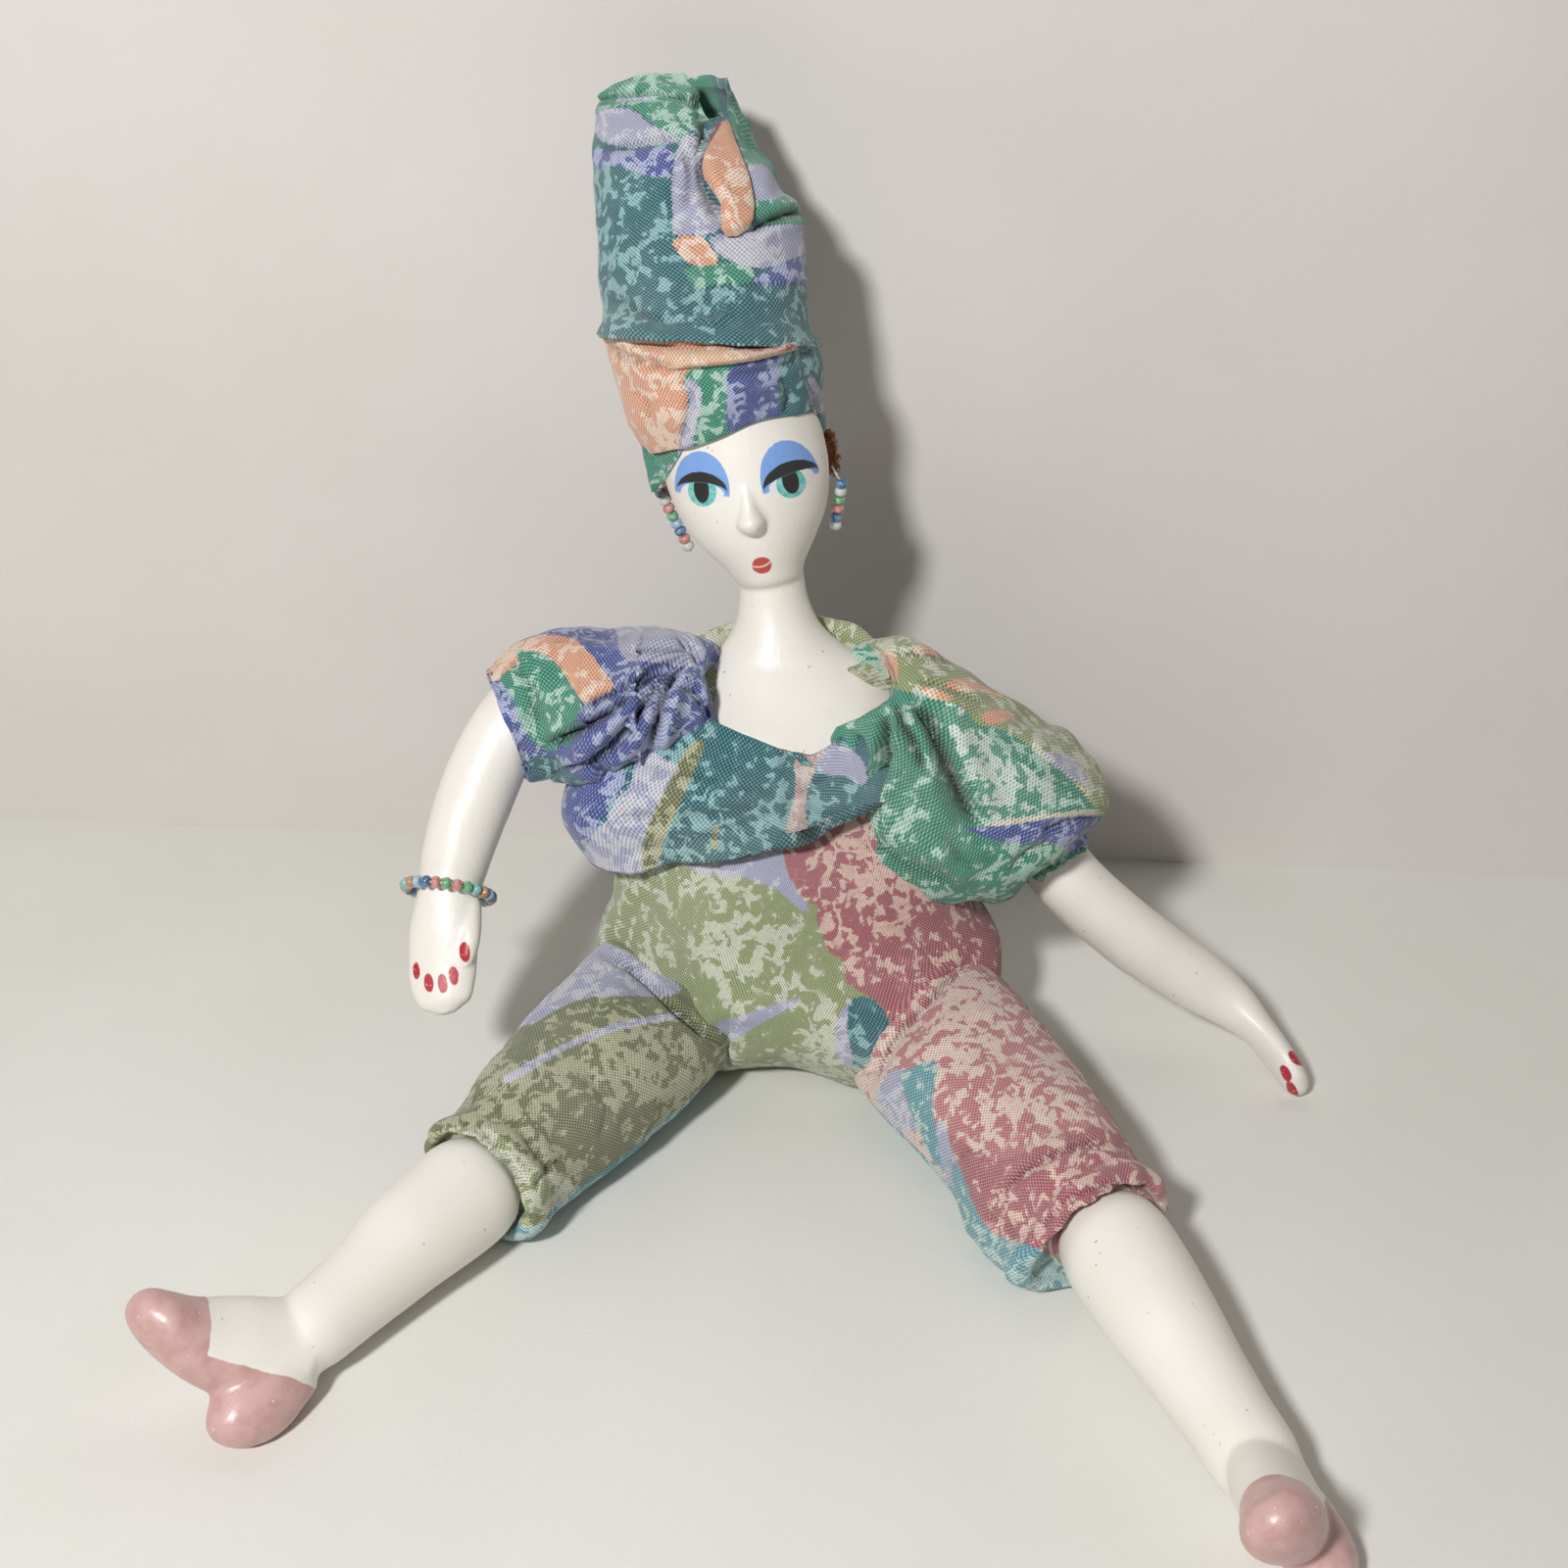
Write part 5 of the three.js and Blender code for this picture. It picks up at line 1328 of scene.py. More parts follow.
SLEEVE_EDGES = {
    "right": [(742, 640), (736, 655), (722, 668), (716, 690), (718, 705), (724, 720), (729, 738), (724, 750)],
    "left": [(846, 636), (880, 650), (903, 664), (912, 682), (917, 700), (912, 714), (896, 723), (880, 732),
             (854, 742), (844, 758), (843, 790), (850, 812)],
}


def sleeve_piece(side, material):
    facts = SLEEVES[side]
    grid, turn = sewn(loft(facts["keys"], 190, 240, side=facts["side"]), facts["seam"])
    obj = woven_grid("sleeve_cloth_" + side, grid, around=False)
    points, normals = read_sewn(obj, grid)
    rings, sides = grid.shape[:2]
    share = np.repeat(np.arange(rings) / (rings - 1), sides)
    angle = np.tile(turn, rings)
    mouth_share = 0.86
    inside = smooth((share - mouth_share) / 0.05)
    mouth = np.abs(mouth_share - share) * 60
    out = (1 - inside)[:, None]
    puckered = gathered(points, normals, mouth, angle, facts["gathers"], 1.5, 15, seed=3)
    points = points + (puckered - points) * out
    points = gathered(points, normals, share * 60, angle, 13, 1.6, 13, seed=5)
    waved = uneven(uneven(points, normals, 15, 1.6, 12.0), normals, 6, 0.5, 2.0)
    points = points + (waved - points) * out
    points = points + (drawn_in(points, side, SLEEVE_EDGES[side]) - points) * out
    points = reshaped(points, SLEEVE_PULLS[side])
    points = points + (folded(points, normals, SLEEVE_FOLDS[side]) - points) * out
    points = points + (lapped(points, normals, SLEEVE_LAPS[side]) - points) * out
    points[:, 2] = np.maximum(points[:, 2], SLEEVE_CLEAR)
    write(obj, points)
    draw_print(obj, SLEEVE_AREAS[side], SLEEVE_FOLDS[side])
    finished(obj, material)
    start, end = (tuple(MM * v for v in point) for point in facts["ends"])
    cloth_sheet(obj, grid)
    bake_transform(obj, "trunk", "arm_" + side, start=start, end=end)
    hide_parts("shoulder_drape_" + side, "sleeve_" + side)
    return obj


BODICE_LOW, BODICE_SLOPE = 71, math.radians(19)
NECKLINE_HIGH, NECKLINE_SLOPE = 88.5, math.radians(15)


def bodice_piece(material):
    """The band round the chest, lower on the doll's right and drawn in at the front."""
    keys = np.array([
        (44, 0.2, 0, 0), (46, 0.5, 0, 0), (60, 1.5, 1, 0), (70, 2.2, 2.5, 0), (80, 1, 2.5, 0), (89, -4, 0, 0),
        (98, -10.5, 0, 0),
    ], float)
    sides, rings = 220, 44
    turn = np.arange(sides) * 2 * math.pi / sides
    c, n = np.cos(turn), np.sin(turn)
    reach = 1 / (np.abs(c) ** 2.3 + np.abs(n) ** 2.3) ** (1 / 2.3)
    rows = np.concatenate([[-0.06, -0.05, 0], np.linspace(0.02, 0.98, rings - 6), [1, 1.05, 1.06]])
    grid = np.empty((rings, sides, 3))
    for i, t in enumerate(rows):
        x = c * 45
        for _ in range(6):
            low = np.maximum(BODICE_LOW + x * math.tan(BODICE_SLOPE), 50)
            high = NECKLINE_HIGH - x * math.tan(NECKLINE_SLOPE)
            high = high + 6.5 * smooth((x - 2) / 11) * smooth((34 - x) / 10)
            share = min(max(t, 0), 1)
            z = low + (high - low) * share
            spread = np.interp(z, keys[:, 0], keys[:, 1])
            aside = np.interp(z, keys[:, 0], keys[:, 2])
            middle_x, middle_y, _ = trunk_at(z)
            tucked = 1.4 * ((t < 0) + (t > 1))
            wide = 46.5 + spread + aside / 2 - tucked
            deep = 28.5 + spread - tucked
            x = middle_x - aside + c * reach * wide
        lift = 0.5 if t in (0, 1) else 0
        inner = abs(t - share) * 40
        z = z + (inner if t < 0 else -inner)
        grid[i] = np.stack([x, middle_y - 1 + n * reach * (deep + lift), z], -1)
    grid, _ = sewn(grid, 90)
    obj = woven_grid("chest_band", grid, around=False)
    points, normals = read_sewn(obj, grid)
    near = np.exp(-(((points[:, 0] - 2) / 5.5) ** 2)) * (points[:, 1] < 10)
    points = points - normals * (1.6 * near)[:, None]
    points = uneven(points, normals, 12, 0.9, 4.0)
    points = uneven(points, normals, 4.5, 0.3, 9.0)
    points = reshaped(points, [((602, 838), (580, 838), 40), ((690, 890), (690, 879), 36)])
    folds = [
        ([(640, 775), (700, 790), (760, 805), (805, 812)], 9, 0.7),
        ([(620, 830), (690, 835), (750, 828), (806, 818)], 9, 0.8),
        ([(640, 870), (700, 858), (760, 840), (808, 824)], 8, 0.7),
        ([(850, 790), (830, 800), (810, 812)], 8, 0.7),
        ([(860, 835), (835, 828), (810, 820)], 8, 0.7),
        ([(800, 760), (803, 800), (806, 852)], 7, 0.8),
    ]
    points = folded(points, normals, folds)
    write(obj, points)
    draw_print(obj, CHEST_AREAS, folds)
    finished(obj, material, "trunk")
    cloth_sheet(obj, grid)
    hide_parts("bodice")
    return obj


def collar_piece(material):
    keys = [
        (-26.6, 26, 97.6, 0.6, 1.2), (-26, 26.5, 98, 2, 3), (-17, 33.5, 100, 2.1, 4),
        (-2, 37.5, 101, 2.2, 4.2),
        (12, 33.5, 100, 2.1, 4), (20, 26.5, 98, 2, 3), (20.6, 26, 97.6, 0.6, 1.2),
    ]
    grid = loft(keys, 70, 40, side=(0, 1, 0))
    obj = woven_grid("collar_cloth", grid, ends=(True, True))
    points, normals = read(obj)
    points = uneven(points, normals, 7, 0.8, 3.0)
    write(obj, points)
    finished(obj, material, "trunk")
    cloth_sheet(obj, grid, layers=2)
    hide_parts("neck_collar")
    return obj


# Turban
def hem_rise(x):
    """The crown's hem runs level in the picture, so it climbs towards the doll's right side."""
    return 2.4 - 0.22 * x


def band_piece(material):
    def row(share, spread, lift=0):
        return (-3 - 2.2 * share, 1 - share, 35 + 22 * share + lift, 19.6 + spread, 19.8 + spread)

    keys = [
        row(0, 0.25, 3), row(0, 0.4, 0.6), row(0, 1.0, -0.3), row(0.03, 1.8), row(0.2, 2.7), row(0.5, 4),
        row(0.8, 5.1), row(0.97, 5.0), row(1.02, 4.3), row(1.01, 3.2), row(0.97, 2.6),
    ]
    grid = loft(keys, 110, 240, level=(0, 0, 1))
    x, y, z = grid[..., 0].copy(), grid[..., 1].copy(), grid[..., 2].copy()
    brow = (2 + 3.8 * smooth((x + 20) / 28)) * smooth((4 - y) / 12)
    grid[..., 2] += brow * (1 - smooth((z - 35.5) / 13)) + hem_rise(x) * smooth((z - 43) / 12)
    grid, _ = sewn(moved(HEAD, grid), 90)
    obj = woven_grid("turban_band", grid, around=False)
    points, normals = read_sewn(obj, grid)
    lay_on(obj, local(HEAD, points))
    points = uneven(points, normals, 10, 0.8, 6.0)
    folds = [
        ([(618, 352), (640, 366), (664, 372), (690, 378)], 9, 1.2),
        ([(640, 350), (690, 354), (740, 352), (790, 350)], 7, 0.7),
        ([(690, 386), (704, 400), (700, 430), (690, 456)], 9, 0.8),
        ([(742, 384), (780, 378), (820, 366)], 9, 0.8),
        ([(640, 392), (660, 410), (664, 440)], 11, 0.5),
        ([(796, 380), (806, 404), (800, 428)], 9, 0.6),
        ([(822, 380), (832, 404), (836, 430)], 7, 0.7),
    ]
    points = folded(points, normals, folds)
    laps = [([(680, 378), (700, 375), (745, 370), (790, 360), (832, 346)], 17, 1.1)]
    points = lapped(points, normals, laps)
    write(obj, points)
    draw_print(obj, BAND_AREAS, folds)
    finished(obj, material, "trunk")
    cloth_sheet(obj, grid)
    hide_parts("hat_band")
    return obj


def crown_piece(material):
    def row(share, x, y, half_width, half_depth):
        return (x, y, 50 + 75 * share, half_width, half_depth)

    keys = [
        row(0.11, -5.1, 0.4, 24.2, 24.6), row(0.085, -5.2, 0, 25.2, 26.2), row(0.10, -5.2, 0, 25.1, 25.8),
        row(0.14, -5.1, 0.5, 24, 23.6), row(0.2, -5, 0.7, 23.7, 20.8), row(0.33, -4.8, 1, 23.9, 19.5),
        row(0.52, -3, 1.8, 24, 17), row(0.7, -4.5, 3.5, 20.2, 13.5), row(0.85, -5.5, 5.5, 17.7, 9),
        row(0.94, -4.6, 6, 16, 6.5), row(0.955, -4.4, 6.1, 15.4, 5.8), row(0.94, -4.6, 6, 15, 5.2),
        row(0.85, -5.5, 5.5, 16, 7), row(0.7, -4.5, 4, 18, 10),
    ]
    grid = loft(keys, 230, 260, level=(0, 0, 1), square=2.3)
    x, y, z = grid[..., 0].copy(), grid[..., 1].copy(), grid[..., 2].copy()
    grid[..., 2] += hem_rise(x) * (1 - smooth((z - 57) / 26))
    front = smooth((6.5 - y) / 5) * smooth((x + 1) / 4)
    grid[..., 2] -= 13 * front * smooth((z - 92) / 30)
    grid[..., 1] -= 2.5 * front * smooth((z - 98) / 22)
    grid, _ = sewn(moved(HEAD, grid), 90)
    obj = woven_grid("turban_crown", grid, around=False)
    points, normals = read_sewn(obj, grid)
    lay_on(obj, local(HEAD, points))
    rings, sides = grid.shape[:2]
    share = np.repeat(np.arange(rings) / (rings - 1), sides)
    rim_share = 0.76
    out = (1 - smooth((share - rim_share) / 0.02))[:, None]
    waved = uneven(uneven(points, normals, 16, 1.6, 8.0), normals, 6, 0.5, 3.0)
    points = points + (waved - points) * out
    points = reshaped(points, [
        ((753, 60), (742, 82), 26), ((769, 99), (758, 106), 24), ((788, 140), (775, 146), 24),
        ((813, 182), (798, 190), 22), ((618, 84), (612, 100), 26), ((690, 68), (692, 77), 28),
        ((720, 66), (722, 74), 18),
    ])
    lines = [
        ([(606, 104), (640, 99), (670, 98), (700, 103), (722, 115), (732, 126)], 8, 1.2),
        ([(606, 152), (640, 149), (680, 141), (706, 142)], 13, 0.9),
        ([(712, 158), (715, 184), (725, 205), (738, 226)], 12, 2.0),
        ([(698, 150), (704, 180), (700, 214)], 12, 1.0),
        ([(764, 236), (790, 224), (824, 214)], 10, 1.7),
        ([(690, 160), (684, 190), (686, 236)], 7, 0.5),
        ([(620, 300), (660, 322), (700, 330)], 16, 0.7),
        ([(706, 300), (738, 306), (743, 322), (726, 331), (700, 322)], 7, -0.6),
        ([(722, 128), (716, 146), (708, 162)], 9, 1.0),
    ]
    points = points + (folded(points, normals, lines) - points) * out
    laps = [
        ([(702, 299), (740, 291), (780, 290), (826, 287)], 22, 0.9),
        ([(684, 242), (712, 242), (738, 243)], 16, 0.9),
        ([(604, 104), (640, 98), (670, 97), (700, 102), (722, 114), (734, 126)], 24, 1.3),
        ([(686, 236), (696, 262), (708, 296)], 14, 0.6),
    ]
    points = points + (lapped(points, normals, laps) - points) * out
    write(obj, points)
    draw_print(obj, CROWN_AREAS, lines)
    finished(obj, material, "trunk")
    cloth_sheet(obj, grid)
    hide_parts("hat_crown")
    return obj


# Hair, earrings and bracelet
def depths_along(obj, ways):
    """How far from the viewer a piece lies along each way, carried on past its outline."""
    made = obj.evaluated_get(bpy.context.evaluated_depsgraph_get())
    rows, columns = ways.shape[:2]
    far = np.full((rows, columns), np.nan)
    for i in range(rows):
        for j in range(columns):
            hit, at, _, _ = made.ray_cast(Vector(CAMERA_AT * MM), Vector(ways[i, j]))
            if hit:
                far[i, j] = np.linalg.norm(np.array(at) / MM - CAMERA_AT)
        known = ~np.isnan(far[i])
        if known.any():
            far[i] = np.interp(np.arange(columns), np.nonzero(known)[0], far[i][known])
    known = ~np.isnan(far[:, 0])
    for j in range(columns):
        far[:, j] = np.interp(np.arange(rows), np.nonzero(known)[0], far[:, j][known])
    for _ in range(4):
        wide = np.pad(far, 1, mode="edge")
        far = (wide[:-2, 1:-1] + wide[2:, 1:-1] + wide[1:-1, :-2] + wide[1:-1, 2:]) / 4
    return far


def strip_piece(name, rows, under, lift, material, areas, ridge=0.5, lines=(), columns=26):
    """A folded strip of cloth laid over another piece. Each row has the strip's two edges in the picture."""
    rows = np.array(rows, float)
    t = np.linspace(0, len(rows) - 1, 8 * len(rows))
    smoothed = np.array([[np.interp(t, range(len(rows)), rows[:, k, m]) for m in range(2)] for k in range(2)])
    share = (1 - np.cos(np.linspace(0, math.pi, columns))) / 2
    first, last = smoothed[0].T[:, None], smoothed[1].T[:, None]
    way = ways_through(first + (last - first) * share[None, :, None])
    far = depths_along(under, way)
    ends = smooth(t / 2)[:, None] * smooth((t[-1] - t) / 1.5)[:, None]
    bank = np.sin(np.pi * share ** ridge) ** 0.6
    rise = lift * (0.35 + 0.65 * bank)[None] * (0.3 + 0.7 * ends) + 0.35
    front = CAMERA_AT + way * (far - rise)[..., None]
    back = CAMERA_AT + way * (far - rise + 0.3 + 0.5 * bank[None] * ends)[..., None]
    grid = np.concatenate([front, back[:, ::-1]], axis=1)
    obj = woven_grid(name, grid, ends=(True, True))
    points, normals = read(obj)
    write(obj, folded(uneven(points, normals, 6, 0.25, 2.0), normals, lines))
    draw_print(obj, areas, lines, wander=2.0)
    finished(obj, material, "trunk")
    width = np.linalg.norm(np.diff(front, axis=1), axis=2).sum(1).max()
    cloth_sheet(obj, front if width > 10.5 else grid, layers=2)
    return obj


def turban_strips(band, crown, head):
    """The flap that hangs over the crown, the pleat across the band, and the tail at the temple."""
    flap = [
        ((738, 124), (744, 124)), ((729, 138), (748, 136)), ((720, 154), (754, 152)),
        ((717, 170), (760, 168)), ((719, 182), (765, 181)), ((727, 195), (768, 195)),
        ((735, 208), (770, 208)), ((737, 222), (769, 222)),
        ((736, 233), (764, 233)), ((742, 241), (753, 241)),
    ]
    curl = [([(724, 188), (734, 200), (741, 212), (744, 222), (740, 230)], 7, 1.6)]
    print_of_flap = cloth("flap_print", "peach")
    strip_piece("turban_flap", flap, crown, 2.8, print_of_flap, (), 0.75, lines=curl)
    pleat = [
        ((679, 358), (680, 377)), ((700, 357), (701, 375)), ((722, 358), (724, 373)),
        ((745, 358), (746, 371)), ((768, 357), (770, 368)), ((792, 354), (794, 362)),
        ((812, 349), (814, 356)), ((824, 346), (825, 351)),
    ]
    areas = [("rose", [(742, 340), (775, 338), (835, 338), (835, 352), (790, 358), (768, 364), (752, 360)])]
    print_of_pleat = cloth("pleat_print", "apricot", areas)
    strip_piece("turban_pleat", pleat, band, 2.0, print_of_pleat, areas, 1.4)
    tail = [
        ((652, 444), (700, 440)), ((655, 456), (699, 452)), ((657, 466), (694, 464)),
        ((659, 476), (687, 476)),
        ((661, 486), (681, 486)), ((663, 495), (674, 495)), ((665, 502), (669, 502)),
    ]
    areas = [("lavender", [(686, 430), (712, 430), (706, 462), (690, 478), (678, 478), (682, 460)])]
    strip_piece("turban_tail", tail, head, 1.5, cloth("tail_print", "sea", areas), areas)


def ear_place(side, away, back, high):
    sign = -1 if side == "right" else 1
    return moved(HEAD, np.array([EAR_MIDDLE + sign * (HEAD_HALF_WIDTH + away), back, high], float))


def curve_object(name, paths, thick):
    made = bpy.data.curves.new(name, "CURVE")
    made.dimensions, made.bevel_depth, made.bevel_resolution = "3D", thick * MM, 1
    made.use_fill_caps = True
    for path in paths:
        spline = made.splines.new("POLY")
        spline.points.add(len(path) - 1)
        flat = np.c_[np.asarray(path) * MM, np.ones(len(path))]
        spline.points.foreach_set("co", flat.ravel())
    obj = bpy.data.objects.new(name, made)
    bpy.context.scene.collection.objects.link(obj)
    return obj


def hair_piece(side, material):
    draw = np.random.default_rng(21 if side == "right" else 22)
    paths = []
    for _ in range(170):
        root = ear_place(side, -2.0, draw.uniform(7, 13), draw.uniform(24.6, 35.5))
        reach = ear_place(side, draw.uniform(-0.4, 1.9), draw.uniform(6.8, 12.6), draw.uniform(24.5, 35.0))
        axis = unit(reach - root + draw.normal(0, 0.6, 3))
        one = unit(np.cross(axis, draw.normal(0, 1, 3)))
        two = np.cross(axis, one)
        t = np.linspace(0, 1, 22)
        turn = draw.uniform(1.5, 3.2) * 2 * math.pi * t + draw.uniform(0, 6)
        size = draw.uniform(0.5, 1.1) * smooth(t / 0.3)
        middle = root + (reach - root) * t[:, None]
        paths.append(middle + one * (np.cos(turn) * size)[:, None] + two * (np.sin(turn) * size)[:, None])
    obj = curve_object("hair_curls_" + side, paths, 0.13)
    finished(obj, material, "trunk")
    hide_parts("hair_" + side)
    return obj


def bead_points(centre, axis):
    """One rounded glass bead with its hole, as rings round its axis."""
    axis = unit(axis)
    one = unit(np.cross(axis, (0.3, 0.5, 0.8)))
    two = np.cross(axis, one)
    profile = []
    for k in range(9):
        t = math.pi * (k / 8 - 0.5)
        wide = BEAD_HOLE + (BEAD_RADIUS - BEAD_HOLE) * abs(math.cos(t)) ** 0.6
        profile.append((wide, BEAD_LENGTH / 2 * math.sin(t)))
    profile.append((BEAD_HOLE * 0.92, BEAD_LENGTH * 0.3))
    profile.append((BEAD_HOLE * 0.92, -BEAD_LENGTH * 0.3))
    turn = np.arange(BEAD_SIDES) * 2 * math.pi / BEAD_SIDES
    rings = []
    for r, along in profile:
        ring = centre + axis * along + r * (np.outer(np.cos(turn), one) + np.outer(np.sin(turn), two))
        rings.append(ring)
    return np.array(rings)


def bead_pieces(name, beads, body, nodes):
    """The beads of one string, one piece for each colour of glass."""
    for tone in sorted({tone for _, _, tone in beads}):
        points, faces = [], []
        for centre, axis, own in beads:
            if own != tone:
                continue
            rings = bead_points(np.array(centre, float), axis)
            first, count = len(points), len(rings)
            points.extend(rings.reshape(-1, 3))
            for face in skin_faces(count, BEAD_SIDES):
                faces.append(tuple(first + v for v in face))
            last = first + (count - 1) * BEAD_SIDES
            for k in range(BEAD_SIDES):
                j = (k + 1) % BEAD_SIDES
                faces.append((last + k, last + j, first + j, first + k))
        obj = object_of(f"{name}_{tone}", points, faces)
        finished(obj, GLASS[tone], body)
        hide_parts(*nodes(tone))


EARRINGS = {
    "right": (30, 3, (0.45, 0, -1), "smoke clear pink green pale_blue blue pink clear".split()),
    "left": (27, 4.4, (-0.12, 0, -1), "blue clear green pink blue clear".split()),
}
BRACELET_TONES = ("aqua", "green", "pink", "blue", "pale_blue", "orange")


def earring_piece(side):
    high, drop, way, tones = EARRINGS[side]
    way = unit(way)
    ear, first = ear_place(side, 0.2, 2.2, high), ear_place(side, 1.9, 2.2, high - drop)
    beads = [(first + way * (BEAD_PITCH * k), way, tone) for k, tone in enumerate(tones)]
    end = beads[-1][0] + way * 1.5
    path = np.array([ear, (ear + first) / 2 + (0, -0.2, 0.1), first, end])
    cord = curve_object("earring_thread_" + side, [path], 0.22)
    finished(cord, THREAD_WHITE, "earring_" + side)
    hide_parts("earring_" + side)
    bead_pieces("earring_beads_" + side, beads, "earring_" + side, lambda tone: ["earring_" + side])


def bracelet_piece():
    place = frame_along((-82.4, -11, 55), (-2, -12, -12), (0, -1, 0))
    beads, names = [], {}
    for k in range(BRACELET_BEADS):
        turn = 2 * math.pi * k / BRACELET_BEADS
        flat = np.array([math.sin(turn), -math.cos(turn), 0])
        spin = np.array([math.cos(turn), math.sin(turn), 0]) @ place[:3, :3].T
        tone = BRACELET_TONES[(7 * k + 1) % len(BRACELET_TONES)]
        beads.append((moved(place, flat * BRACELET_RADIUS), spin, tone))
        names.setdefault(tone, []).append(f"bracelet_bead_{k + 1}")
    bead_pieces("bracelet_beads", beads, "bracelet", lambda tone: names[tone])


# Finishes
GLASS_TONES = {
    "aqua": "#8fd0d0", "green": "#6fbf86", "pink": "#e58f86", "blue": "#2f76a8", "pale_blue": "#aed0ea",
    "orange": "#d8955a", "clear": "#dfe6e8", "smoke": "#4a545c",
}
GLASS = {name: glass(name, code) for name, code in GLASS_TONES.items()}
THREAD_WHITE = thread_fibre("white_thread", "#e9e4d8")
HAIR = thread_fibre("copper_curls", "#a86a3c", 0.45)
LEG_PAINT = leg_paint()
LEG_PLACES = {side: frame_along(*knee_frame(side)) for side in SIDES}
RIGHT_NAILS = [
    ((-77.2, -24.6, 47.0), 1.3, 2.3), ((-79.8, -28.0, 42.8), 1.15, 2.2), ((-82.3, -29.0, 41.3), 1.15, 2.3),
    ((-85.6, -28.4, 41.0), 1.15, 2.2), ((-88.8, -25.8, 42.7), 0.9, 2.0),
]
LEFT_NAILS = [
    ((122.2, -18.2, 11.0), 1.1, 2.0), ((119.6, -20.5, 8.3), 1.1, 2.0), ((121.5, -21.3, 3.8), 1.1, 1.8),
]
RIGHT_FINGERS, RIGHT_HAND_BACK = unit((0.13, -0.67, -0.73)), unit((0, -0.73, 0.68))
LEFT_FINGERS, LEFT_HAND_BACK = unit((0.41, -0.83, -0.39)), unit((-0.25, -0.76, 0.6))

SLEEVE_PRINTS = {
    "right": cloth("right_sleeve_print", "blue", SLEEVE_AREAS["right"]),
    "left": cloth("left_sleeve_print", "sea", SLEEVE_AREAS["left"]),
}

painted_head = head_piece()
torso_piece()
for side in SIDES:
    thigh_piece(side)
    leg_piece(side, LEG_PAINT)
arm_piece("right", arm_paint("right_arm_paint", RIGHT_NAILS, RIGHT_FINGERS, RIGHT_HAND_BACK))
arm_piece("left", arm_paint("left_arm_paint", LEFT_NAILS, LEFT_FINGERS, LEFT_HAND_BACK))
arm_cloth = cloth("arm_cloth_print", "lavender")
for side in SIDES:
    arm_cloth_piece(side, arm_cloth)
    sleeve_piece(side, SLEEVE_PRINTS[side])
bodice_piece(cloth("chest_print", "teal", CHEST_AREAS))
collar_piece(cloth("collar_print", "sage"))
turban_band = band_piece(cloth("band_print", "sea", BAND_AREAS))
turban_crown = crown_piece(cloth("crown_print", "teal", CROWN_AREAS))
turban_strips(turban_band, turban_crown, painted_head)
for side in SIDES:
    hair_piece(side, HAIR)
    earring_piece(side)
bracelet_piece()
for name in ("bracelet_elastic", "knee_tie_right", "knee_tie_left"):
    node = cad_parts[name]
    node.data.materials.clear()
    node.data.materials.append(THREAD_WHITE)


# Floor, wall, lamps and camera
STAGE_REACH, STAGE_STEPS = 1300, 9


def paper(name, code, other, clear_back=False):
    """Pale board. With a clear back it doesn't hide what stands before it from behind."""
    s = Surface(name)
    at = s.node("TexCoord", None, None, out=3)
    cloud = s.cloud(at, 9, 3, 0.55)
    grain = s.cloud(at, 900, 2, 0.6)
    material = s.finish(s.mix(cloud.rises(0.3, 0.7), code, other), 0.85, grain, 0.00008)
    if clear_back:
        back, board = s.node("NewGeometry", out="Backfacing"), Wire(s, s.shader.outputs[0])
        face = s.node("MixShader", None, {0: back, 1: board, 2: s.node("BsdfTransparent")})
        s.feed(s.tree.nodes["Material Output"].inputs["Surface"], face)
    return material


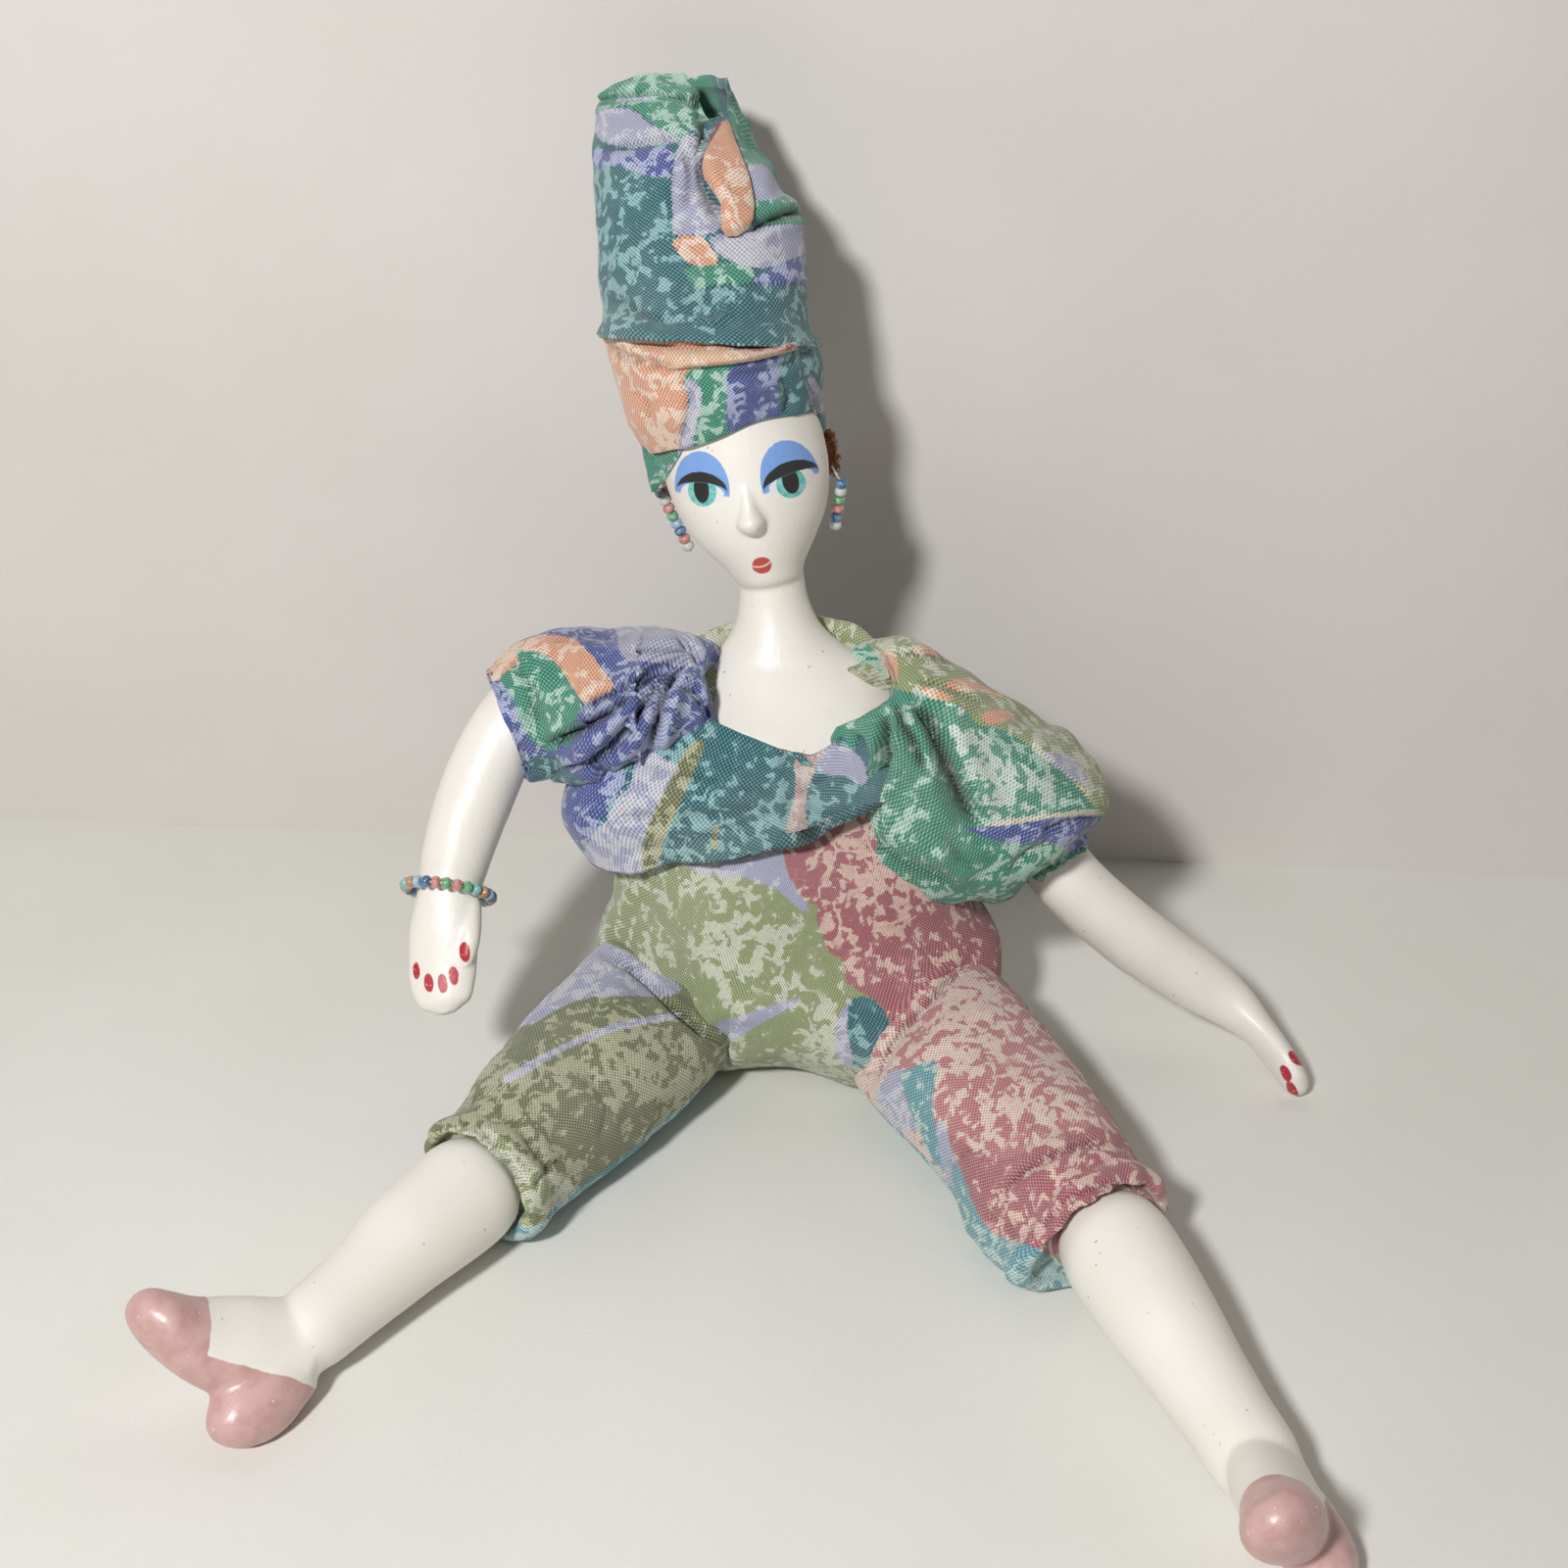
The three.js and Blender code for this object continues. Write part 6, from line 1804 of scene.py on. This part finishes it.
def room(name):
    """Dim warm light from all round. Past the stage, the camera, shiny faces and glass see pale grey."""
    s = Surface(name, bpy.data.worlds.new(name))
    dim = s.node("Background", None, {"Color": (1, 0.9, 0.78, 1), "Strength": 0.07})
    pale = s.node("Background", None, {"Color": tint("#d6d2cd"), "Strength": 1.0})
    rays = ("Camera", "Glossy", "Transmission")
    look, shine, through = (s.node("LightPath", out=f"Is {ray} Ray") for ray in rays)
    view = s.node("MixShader", None, {0: look.most(shine).most(through), 1: dim, 2: pale})
    s.feed(s.tree.nodes["World Output"].inputs["Surface"], view)
    return s.material


def stage_sheet(name, corners, material):
    one, two, three, four = np.array(corners, float)
    across = np.linspace(0, 1, STAGE_STEPS)[:, None]
    near, far = one + (two - one) * across, four + (three - four) * across
    grid = near + (far - near) * across[:, None]
    obj = object_of(name, grid.reshape(-1, 3), skin_faces(STAGE_STEPS, STAGE_STEPS, around=False))
    obj.data.materials.append(material)
    return obj


wall_left, wall_right = np.array([-243.0, 114, 0]), np.array([225.0, 81, 0])
wall_way = unit(wall_right - wall_left)
wall_left, wall_right = wall_left - wall_way * 900, wall_right + wall_way * 900
wall_rise = (0, 0, STAGE_REACH)
floor_corners = [(x * STAGE_REACH, y * STAGE_REACH, 0) for x, y in ((-1, -1), (1, -1), (1, 1), (-1, 1))]
stage_sheet("floor", floor_corners, paper("floor_board", "#e6e5e0", "#e1e0da"))
wall_corners = [wall_left, wall_right, wall_right + wall_rise, wall_left + wall_rise]
wall = stage_sheet("wall", wall_corners, paper("wall_board", "#dcd7d3", "#d7d2cd", clear_back=True))
if wall.data.polygons[0].normal.y > 0:
    wall.data.flip_normals()


def lamp(name, at, size, power, target=(0, 20, 70)):
    light = bpy.data.lights.new(name, "AREA")
    light.shape, light.size, light.energy = "DISK", size * MM, power
    obj = bpy.data.objects.new(name, light)
    obj.location = Vector(at) * MM
    obj.rotation_euler = (Vector(target) - Vector(at)).to_track_quat("-Z", "Y").to_euler()
    bpy.context.scene.collection.objects.link(obj)


lamp("window_light", (-285, -640, 640), 100, 6.5)
lamp("room_light", (500, -700, 900), 900, 0.6)
bpy.context.scene.world = room("room")

camera = bpy.data.objects.new("camera", bpy.data.cameras.new("camera"))
camera.data.lens, camera.data.sensor_width = 45, 36
camera.data.sensor_fit = "HORIZONTAL"
camera.location = Vector(CAMERA_AT * MM)
camera.rotation_euler = (math.radians(90) - CAMERA_DIP, 0, 0)
bpy.context.scene.collection.objects.link(camera)
bpy.context.scene.camera = camera
bpy.context.scene.view_settings.view_transform = "Standard"
